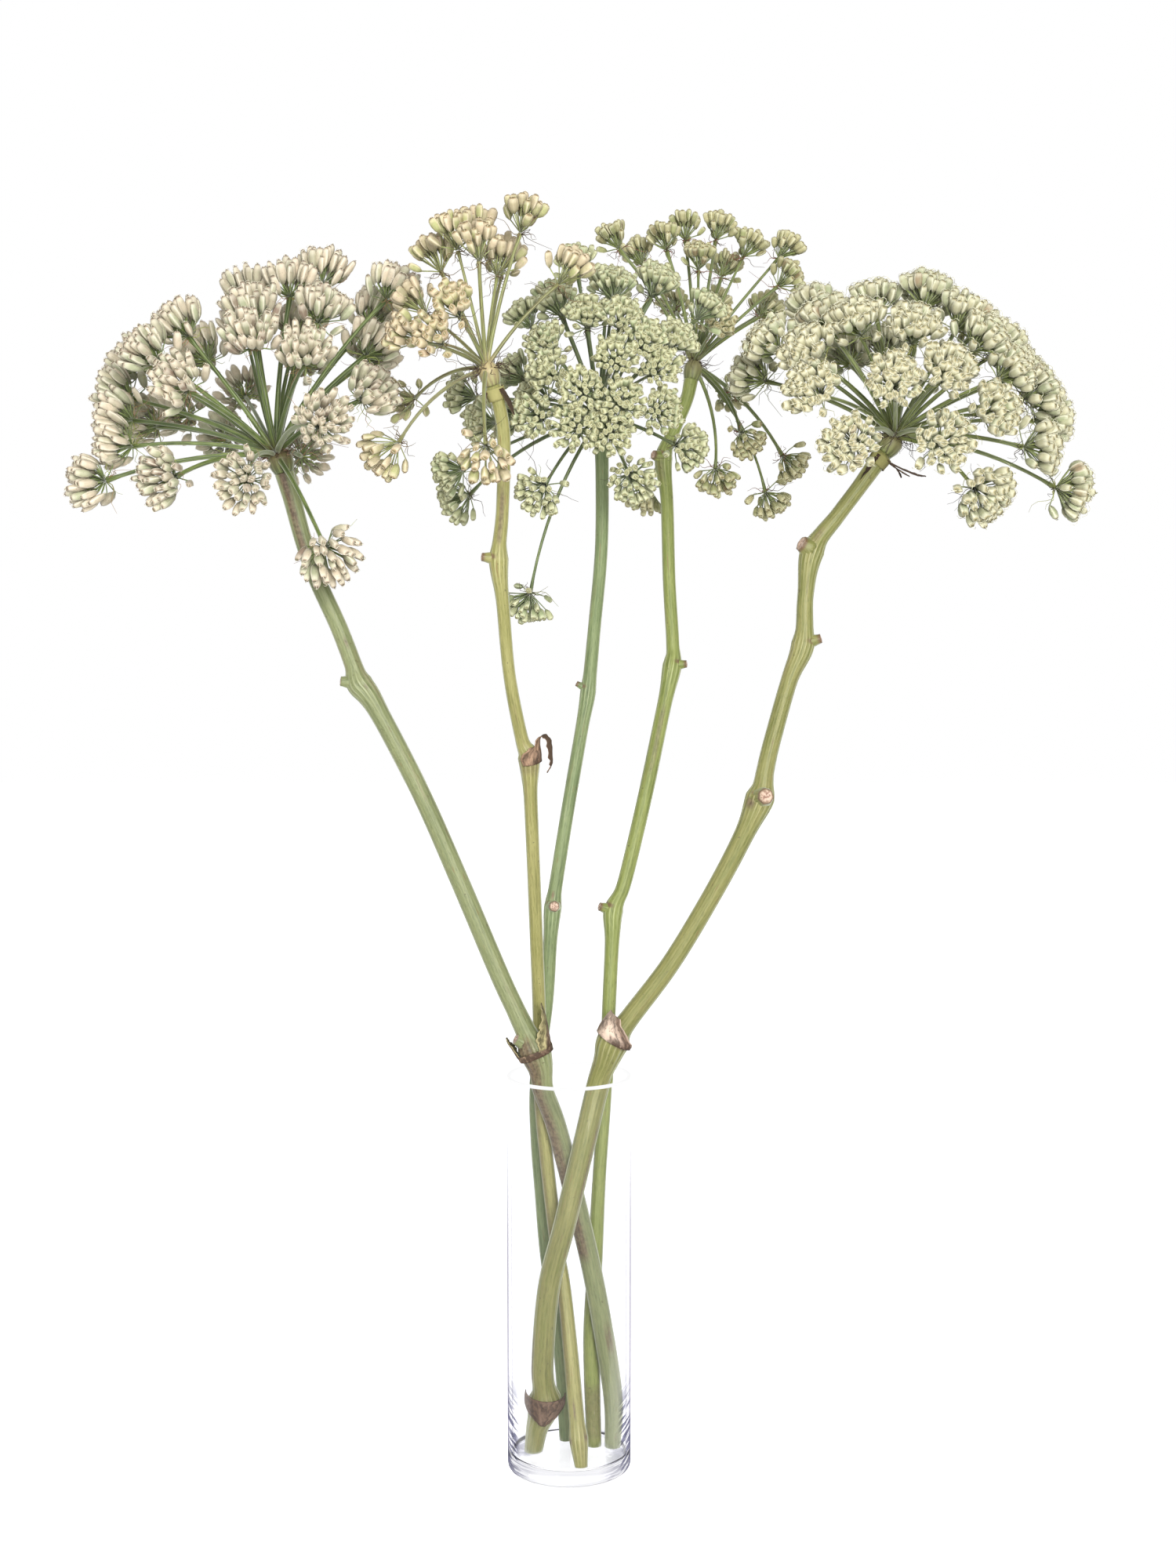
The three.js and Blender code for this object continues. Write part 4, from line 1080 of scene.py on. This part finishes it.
def make_bracts(name):
    """A collar round the end of a stem, and the dry strips that stand out from it."""
    bracts = BRACTS[name]
    stem = STEMS[bracts["stem"]]
    points, random = stem_points(stem), seeded(name)
    along = unit(points[-1] - points[-2])
    radius = stem["path"][-1][3] + BRACT_GAP + SHEET_THICK
    shape = Shape(*SHEET_VALUES)
    collar = [(height, radius + more, *BRACT_COLLAR_ARC) for height, more in BRACT_COLLAR]
    add_sheet(shape, points[-1], along, collar, random, RAGGED_COLLAR, COLLAR_DUSK)
    for first, last, tip, out in bracts["strips"]:
        rows = []
        for way, stand, narrow in BRACT_ROWS:
            inset = narrow * (last - first) / 2
            height = BRACT_START + (tip - BRACT_START) * way
            rows.append((height, radius + out * stand, first + inset, last - inset))
        add_sheet(shape, points[-1], along, rows, random, RAGGED_STRIP)
    return shape.made(f"{name}_papery", dry_material(name, bracts["colour"], stem["tint"]))


# The seed heads

RAY_FACES, RAY_RINGS = 10, 12
RAY_WIDTH, RAY_UNEVEN, RAY_GROOVE = 0.82, 0.14, 0.16
# Flares and brown scars at a ray's two ends: how far along it they reach, and how strong they are
ROOT_FLARE, TIP_FLARE = (0.07, 0.25), (0.06, 0.7)
ROOT_SCAR, TIP_SCAR = (0.12, 0.8), (0.03, 0.35)
# Rings of a hub: mm above the end of the stem, and share of the stem's radius
HUB = [(0, 1), (5, 1.3), (11, 1.35), (16, 0.8)]
HUB_FACES, HUB_RINGS, HUB_GROOVE, HUB_GAP = 24, 13, 0.05, 0.35
STALK_SIDES, STALK_RADIUS, STALK_BOW, STALK_START, STALK_END = 3, 0.5, 0.32, 0.8, 0.4

# A seed's outline from its stalk to its tip: height and radius as shares, then how much is its end disc
SEED_RINGS = [
    (0.05, 0.3, 0), (0.24, 0.8, 0), (0.54, 1.0, 0), (0.84, 0.74, 0), (0.95, 0.44, 0), (0.93, 0.27, 0.6),
]
SEED_SIDES, SEED_SHOULDER, SEED_TIP, SEED_VALLEY = 8, 0.8, 1.0, 0.87
SEED_REACH, SEED_UNEVEN = 0.965, 0.13
# How unevenly seeds lean, turn and grow
LEAN_SPREAD, TURN_SPREAD, SIZE_SPREAD = 0.05, 0.07, 0.08
# Seeds of each umbellet that hang out of it, how far they reach and lean, and how much more some lean
STRAYS, STRAY_REACH, STRAY_LEAN, STRAY_MORE = 3, 0.85, 1.12, 0.45

THREAD_SIDES, THREAD_RINGS, THREAD_RADIUS, THREAD_CURL = 3, 7, 0.34, 0.13
THREADS, THREADS_OUT = 8, 1.2
HUB_THREADS, HUB_THREADS_OUT = 50, 6.5
STYLE_RINGS, STYLE_RADIUS = 4, 0.28


def ray_paths(umbel, places):
    """Bowed centre lines of the rays, the way each umbellet faces, and how wide it fans out."""
    axis = unit(floats(umbel["axis"]))
    way = unit(places)
    length = np.linalg.norm(places, axis=1, keepdims=True) - UMBELLET_MIDDLE * umbel["umbellet"]
    rise = (way @ axis)[:, None]
    aside = axis - way * rise
    start, end = way * RAY_START, way * length
    middle = way * length / 2 + aside * length * (RAY_BOW + RAY_DROOP * np.maximum(0, -rise))
    t = np.linspace(0, 1, RAY_RINGS)[None, :, None]
    control = 2 * middle - (start + end) / 2
    curve = start[:, None] * (1 - t) ** 2 + control[:, None] * 2 * t * (1 - t) + end[:, None] * t ** 2
    facing = unit(unit(end - middle) * (1 - AXIS_SHARE) + axis * AXIS_SHARE)
    fan = np.radians(umbel["fan"] + HANGING_FAN * np.maximum(0, -way[:, 2]))
    return floats(umbel["hub"]) + curve, facing, fan


def add_rays(shape, umbel, paths, random):
    """Ribbed rays that taper from the hub and flare a little under the umbellet."""
    count = len(paths)
    t = np.linspace(0, 1, RAY_RINGS)
    taper = (RAY_ROOT * (1 - t) + RAY_TIP * t) * umbel["thick"] * RAY_WIDTH
    taper = taper * (1 + bell(1 - t, *TIP_FLARE) + bell(t, *ROOT_FLARE))
    groove = (np.arange(RAY_FACES) % 2).astype(float)
    own = 1 + RAY_UNEVEN * (random.rand(count) * 2 - 1)
    radii = taper[:, None] * (1 - RAY_GROOVE * groove) * own[:, None, None]
    length = np.linalg.norm(np.diff(paths, axis=1), axis=2)
    run = np.concatenate([np.zeros((count, 1)), np.cumsum(length, axis=1)], axis=1)
    seed = np.arange(count)[:, None, None] * 7.0
    add_tubes(
        shape, paths, radii, RAY_FACES,
        grain=round_points(2, angles(RAY_FACES), run[:, :, None] * GRAIN_RUN, seed),
        rib=1 - groove, tone=random.rand(count)[:, None, None],
        scar=(bell(t, *ROOT_SCAR) + bell(1 - t, *TIP_SCAR))[:, None],
    )


def add_hub(shape, name):
    """The swollen end of a stem, from which the rays of its seed head grow."""
    stem = STEMS[name.replace("umbel", "stem")]
    *_, before, end = stem_points(stem)
    heights, shares = floats(HUB).T
    fine = np.linspace(0, heights[-1], HUB_RINGS)
    radii = np.interp(fine, heights, shares) * stem["path"][-1][3]
    centres = end + unit(end - before) * (HUB_GAP + fine)[:, None]
    rib = (np.arange(HUB_FACES) % 2).astype(float)
    add_tubes(
        shape, centres[None], radii[:, None] * (1 - HUB_GROOVE * rib), HUB_FACES,
        grain=round_points(5, angles(HUB_FACES), fine[:, None] * 0.1)[None],
        rib=rib, tone=0.5, scar=np.linspace(0.35, 1, HUB_RINGS)[:, None],
    )


def seed_directions(count, fan, random):
    """Unit directions of one umbellet's seeds about +Z: even on a cap, and a few that hang out of it."""
    i = np.arange(count)
    lean = np.arccos(1 - (i + 0.5) / count * (1 - math.cos(fan)))
    lean = np.minimum(lean + random.normal(0, LEAN_SPREAD, count), fan)
    lean[-STRAYS:] = fan * (STRAY_LEAN + STRAY_MORE * random.rand(STRAYS))
    turn = i * GOLDEN_ANGLE + random.normal(0, TURN_SPREAD, count) + random.rand() * 2 * math.pi
    ring = np.sin(lean)
    return np.stack([ring * np.cos(turn), ring * np.sin(turn), np.cos(lean)], axis=-1)


def seed_template(widen):
    """One seed of unit size on the origin along +Z: rows of (x, y, z, rib, disc), and its faces."""
    side = np.arange(SEED_SIDES)
    ridge = np.where(side % 2 == 0, 1.0, SEED_VALLEY)
    wing = np.select([side % 4 == 0, side % 4 == 2], [1.0, 0.55], 0.0)
    rows = [(0, 0, 0, 0, 0)]
    for height, radius, disc in SEED_RINGS:
        wide = radius * (widen if height > SEED_SHOULDER else 1)
        for a, out, pale in zip(angles(SEED_SIDES), wide * ridge, wing):
            rows.append((out * math.cos(a), out * math.sin(a), height, pale * (1 - disc), disc))
    rows.append((0, 0, SEED_TIP, 0.3, 1))
    ring = 1 + SEED_SIDES * np.arange(len(SEED_RINGS))[:, None] + side
    after = np.roll(ring, -1, axis=1)
    bottom = np.stack([np.zeros_like(side), after[0], ring[0]], axis=-1)
    top = np.stack([np.full_like(side, len(rows) - 1), ring[-1], after[-1]], axis=-1)
    return floats(rows), [bottom, quads(ring[:-1], after[:-1], after[1:], ring[1:]), top]


def add_seeds(shape, bases, ways, hue, umbel, random):
    """One seed at each base, pointing its way, with its own size, turn and shade. Returns their tips."""
    template, faces = seed_template(umbel["end"])
    length, width, thick = umbel["size"]
    count, each = len(bases), len(template)
    scale = 1 + np.clip(random.normal(0, SIZE_SPREAD, count), -0.2, 0.04)
    side, front = across(ways)
    turn = random.rand(count) * math.pi
    wide = ring_of(side, front, turn) * (width / 2 * scale)[:, None]
    deep = ring_of(front, -side, turn) * (thick / 2 * scale)[:, None]
    long = ways * (length * scale)[:, None]
    axes = np.stack([wide, deep, long], axis=1)
    points = bases[:, None] + np.einsum("vk,nkj->nvj", template[:, :3], axes)
    offsets = (np.arange(count) * each)[:, None, None]
    spread = [(offsets + group).reshape(-1, group.shape[1]) for group in faces]
    tone = np.clip(random.normal(0.55, 0.3, count), 0, 1)
    rise, rib, disc = np.tile(template[:, 2:], (count, 1)).T
    shape.add(
        points, spread, tone=np.repeat(tone, each), hue=np.repeat(hue, each), rise=rise, rib=rib, disc=disc,
    )
    return bases + long


def add_stalks(shape, starts, ends, random):
    """Thin stalks with a slight bow, three-sided and closed."""
    middle = (starts + ends) / 2 + random.normal(0, STALK_BOW, starts.shape)
    streak = random.rand(len(starts))[:, None, None] * 40
    run = floats([0, 0.6, 1.2])[:, None]
    add_tubes(
        shape, np.stack([starts, middle, ends], axis=1), STALK_RADIUS, STALK_SIDES,
        grain=np.stack(np.broadcast_arrays(streak, 0.0, run), axis=-1), rib=0.85,
        tone=0.55 + 0.45 * random.rand(len(starts))[:, None, None],
    )


def add_threads(shape, starts, ways, lengths, tone, random):
    """Thin tapering threads that wave and bend away from the way they start."""
    count = len(starts)
    t = np.linspace(0, 1, THREAD_RINGS)[None, :, None]
    side, front = across(ways)
    phase = some_angles(count, random)[:, None, None]
    bend = random.normal(0, 1, (count, 1, 3)) * 0.4
    long = lengths[:, None, None]
    wave = np.sin(t * 8 + phase) - np.sin(phase)
    other = np.cos(t * 6 + phase) - np.cos(phase)
    paths = starts[:, None] + (ways[:, None] * t + bend * t ** 2) * long
    paths = paths + (side[:, None] * wave + front[:, None] * other) * THREAD_CURL * long
    taper = THREAD_RADIUS * (1 - 0.65 * t[0])
    add_tubes(shape, paths, taper, THREAD_SIDES, tone=tone[:, None, None])


def add_styles(shape, tips, ways, length, random):
    """Two pale styles that curl back from each seed's tip."""
    count = len(tips)
    side, front = across(ways)
    turn = some_angles(count, random)
    t = np.linspace(0, 1, STYLE_RINGS)[None, :, None]
    for half in (0, math.pi):
        out = ring_of(side, front, turn + half)
        own = length * (0.7 + 0.5 * random.rand(count, 1, 1))
        rise = ways[:, None] * (t - 1.25 * t ** 2) * own * 0.9
        paths = (tips - ways * 0.4)[:, None] + rise + out[:, None] * t * own * 0.75
        taper = STYLE_RADIUS * (1 - 0.5 * t[0])
        add_tubes(shape, paths, taper, THREAD_SIDES, tone=1.0 + 0.2 * random.rand(count, 1, 1))


def umbellet_seeds(umbel, end, facing, fan, random):
    """Bases, ways, stalk starts and hues of the seeds of one umbellet, at the end of its ray."""
    radial = seed_directions(umbel["seeds"], fan, random) @ np.stack([*across(facing), facing])
    ways = unit(radial * (1 - umbel["gather"]) + facing * umbel["gather"])
    reach = umbel["umbellet"] * (SEED_REACH - SEED_UNEVEN * random.rand(len(radial)))
    reach[-STRAYS:] *= STRAY_REACH
    bases = end + radial * reach[:, None] - ways * umbel["size"][0]
    hues = np.clip(random.normal(0.62, 0.15) + random.normal(0, 0.24, len(radial)), 0, 1)
    return bases, ways, end + radial * STALK_START, hues


def umbellet_threads(end, facing, random):
    """Starts and ways of the threads under one umbellet."""
    around = ring_of(*across(facing), some_angles(THREADS, random))
    ways = unit(around - facing * 0.5 * random.rand(THREADS, 1))
    return end + around * THREADS_OUT - facing, ways


def hub_threads(umbel, random):
    """Starts and ways of the dry threads that stand round a hub."""
    axis = unit(floats(umbel["axis"]))
    around = ring_of(*across(axis), some_angles(HUB_THREADS, random))
    ways = unit(around + axis * random.normal(-0.1, 0.5, (HUB_THREADS, 1)))
    return floats(umbel["hub"]) + around * HUB_THREADS_OUT, ways


def make_umbel(name):
    """Three pieces for one seed head: its seeds, its green hub, rays and stalks, and its threads."""
    umbel = UMBELS[name]
    random = np.random.RandomState(int(name[-1]))
    paths, facings, fans = ray_paths(umbel, np.array(umbellets_seen(umbel) + umbellets_behind(name)))
    green = Shape("grain", "rib", "tone", "scar")
    add_hub(green, name)
    add_rays(green, umbel, paths, random)
    seed_rows, thread_rows = [], []
    for end, facing, fan in zip(paths[:, -1], facings, fans):
        seed_rows.append(umbellet_seeds(umbel, end, facing, fan, random))
        thread_rows.append(umbellet_threads(end, facing, random))
    thread_rows.append(hub_threads(umbel, random))
    bases, ways, starts, hues = map(np.concatenate, zip(*seed_rows))
    add_stalks(green, starts, bases + ways * STALK_END, random)
    seeds = Shape("tone", "hue", "rise", "rib", "disc")
    tips = add_seeds(seeds, bases, ways, hues, umbel, random)
    threads = Shape("tone")
    add_styles(threads, tips, ways, umbel["styles"], random)
    starts, ways = map(np.concatenate, zip(*thread_rows))
    lengths = umbel["umbellet"] * (0.25 + 0.4 * random.rand(len(starts)))
    tones = 0.8 * random.rand(len(starts))
    tones[-HUB_THREADS:] -= 0.8
    add_threads(threads, starts, ways, lengths, tones, random)
    return [
        seeds.made(f"{name}_seeds", seed_material(name, umbel)),
        green.made(f"{name}_rays", ray_material(name, umbel)),
        threads.made(f"{name}_threads", thread_material(name, umbel)),
    ]


# Floor, light and camera, in metres

WHITE = (1, 1, 1)
# The sky that surfaces get, from below to above. Then the sky that glass sees, by how far to a side it
# looks and how far to the back: two such shares, and the brightness at each
SKY = (0.28, 0.5)
SKY_SIDES, SKY_BACK = (0.9, 0.99, 1.0, 0.3), (-0.3, 0.2, 0.25, 1.0)
FLOOR_HALF, FLOOR_LEVEL = 6, -0.0003
FLOOR_FRONT, FLOOR_DIM, FLOOR_GLOW = (-0.05, -0.08), 0.7, 0.85
# Each light's place, size and power in watts. Both are turned towards one place among the stems
LIGHTS = {
    "key": ((0.3, -2.2, 1.0), (0.8, 0.8), 68),
    "fill": ((-1.5, -1.3, 0.6), (1.2, 1.6), 8),
}
LIT_PLACE = (0, 0, 0.7)
# The camera's place, its tilt up from straight down in degrees, its lens and its sensor
CAMERA_PLACE, CAMERA_TILT, LENS_MM, SENSOR_MM = (0.0143, -1.608, 0.662), 85, 50, 36


def make_floor():
    """White paper, lit up to the white of the background where the camera sees it."""
    mesh = bpy.data.meshes.new("floor")
    half, low = FLOOR_HALF, FLOOR_LEVEL
    corners = [(-half, -half, low), (half, -half, low), (half, half, low), (-half, half, low)]
    mesh.from_pydata(corners, [], [(0, 1, 2, 3)])
    floor = placed("floor", mesh)
    m = Finish("floor_white", 0.9, 0.1)
    rays, y = m.rays(), m.split(m.places())["Y"]
    lit = m.maths("SUBTRACT", 1.0, rays["Is Diffuse Ray"])
    unseen = m.maths("SUBTRACT", lit, rays["Is Camera Ray"])
    dim = m.product(unseen, m.ranged(y, *FLOOR_FRONT, 0, FLOOR_DIM))
    glow = m.product(m.maths("SUBTRACT", lit, dim), FLOOR_GLOW)
    m.feed({"Emission Color": WHITE, "Emission Strength": glow})
    mesh.materials.append(m.finished(m.mix(dim, (0.6, 0.6, 0.6), (0.05, 0.05, 0.05))))


def make_world():
    """White behind everything. Surfaces get a dimmer sky, and glass sees dark edges far to each side."""
    world = bpy.data.worlds.new("studio")
    bpy.context.scene.world = world
    world.use_nodes = True
    m = Nodes(world.node_tree)
    x, y, z = m.split(m.node("TexCoord", output="Generated"))
    in_glass = m.product(m.ranged(m.maths("ABSOLUTE", x), *SKY_SIDES), m.ranged(y, *SKY_BACK))
    sky = m.ranged(z, -1, 1, *SKY, "LINEAR")
    rays = m.rays()
    seen = m.layered(in_glass, (rays["Is Diffuse Ray"], sky), (rays["Is Camera Ray"], WHITE))
    background = m.tree.nodes["Background"]
    m.put(background.inputs["Color"], seen)
    m.put(background.inputs["Strength"], 1.0)


def make_light(name, place, size, energy):
    data = bpy.data.lights.new(name, "AREA")
    data.shape = "RECTANGLE"
    data.size, data.size_y = size
    data.energy = energy
    light = placed(name, data)
    light.location = place
    x, y, z = np.subtract(LIT_PLACE, place)
    light.rotation_euler = (math.atan2(z, math.hypot(x, y)) + math.pi / 2, 0, math.atan2(-x, y))


def make_camera():
    data = bpy.data.cameras.new("camera")
    data.lens = LENS_MM
    data.sensor_width = SENSOR_MM
    camera = placed("camera", data)
    camera.location = CAMERA_PLACE
    camera.rotation_euler = (math.radians(CAMERA_TILT), 0, 0)
    bpy.context.scene.camera = camera


def place_piece(made, node):
    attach(made, "root")
    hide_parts(node)


make_camera()
make_world()
make_floor()
for light_name in LIGHTS:
    make_light(light_name, *LIGHTS[light_name])
bpy.context.scene.view_settings.view_transform = "Standard"

place_piece(make_vase(), "vase")
for stem_name in STEMS:
    place_piece(make_stem(stem_name), stem_name)
for sheath_name in SHEATHS:
    place_piece(make_sheath(sheath_name), sheath_name)
for bracts_name in BRACTS:
    place_piece(make_bracts(bracts_name), bracts_name)
for umbel_name in UMBELS:
    for made_piece in make_umbel(umbel_name):
        place_piece(made_piece, umbel_name)
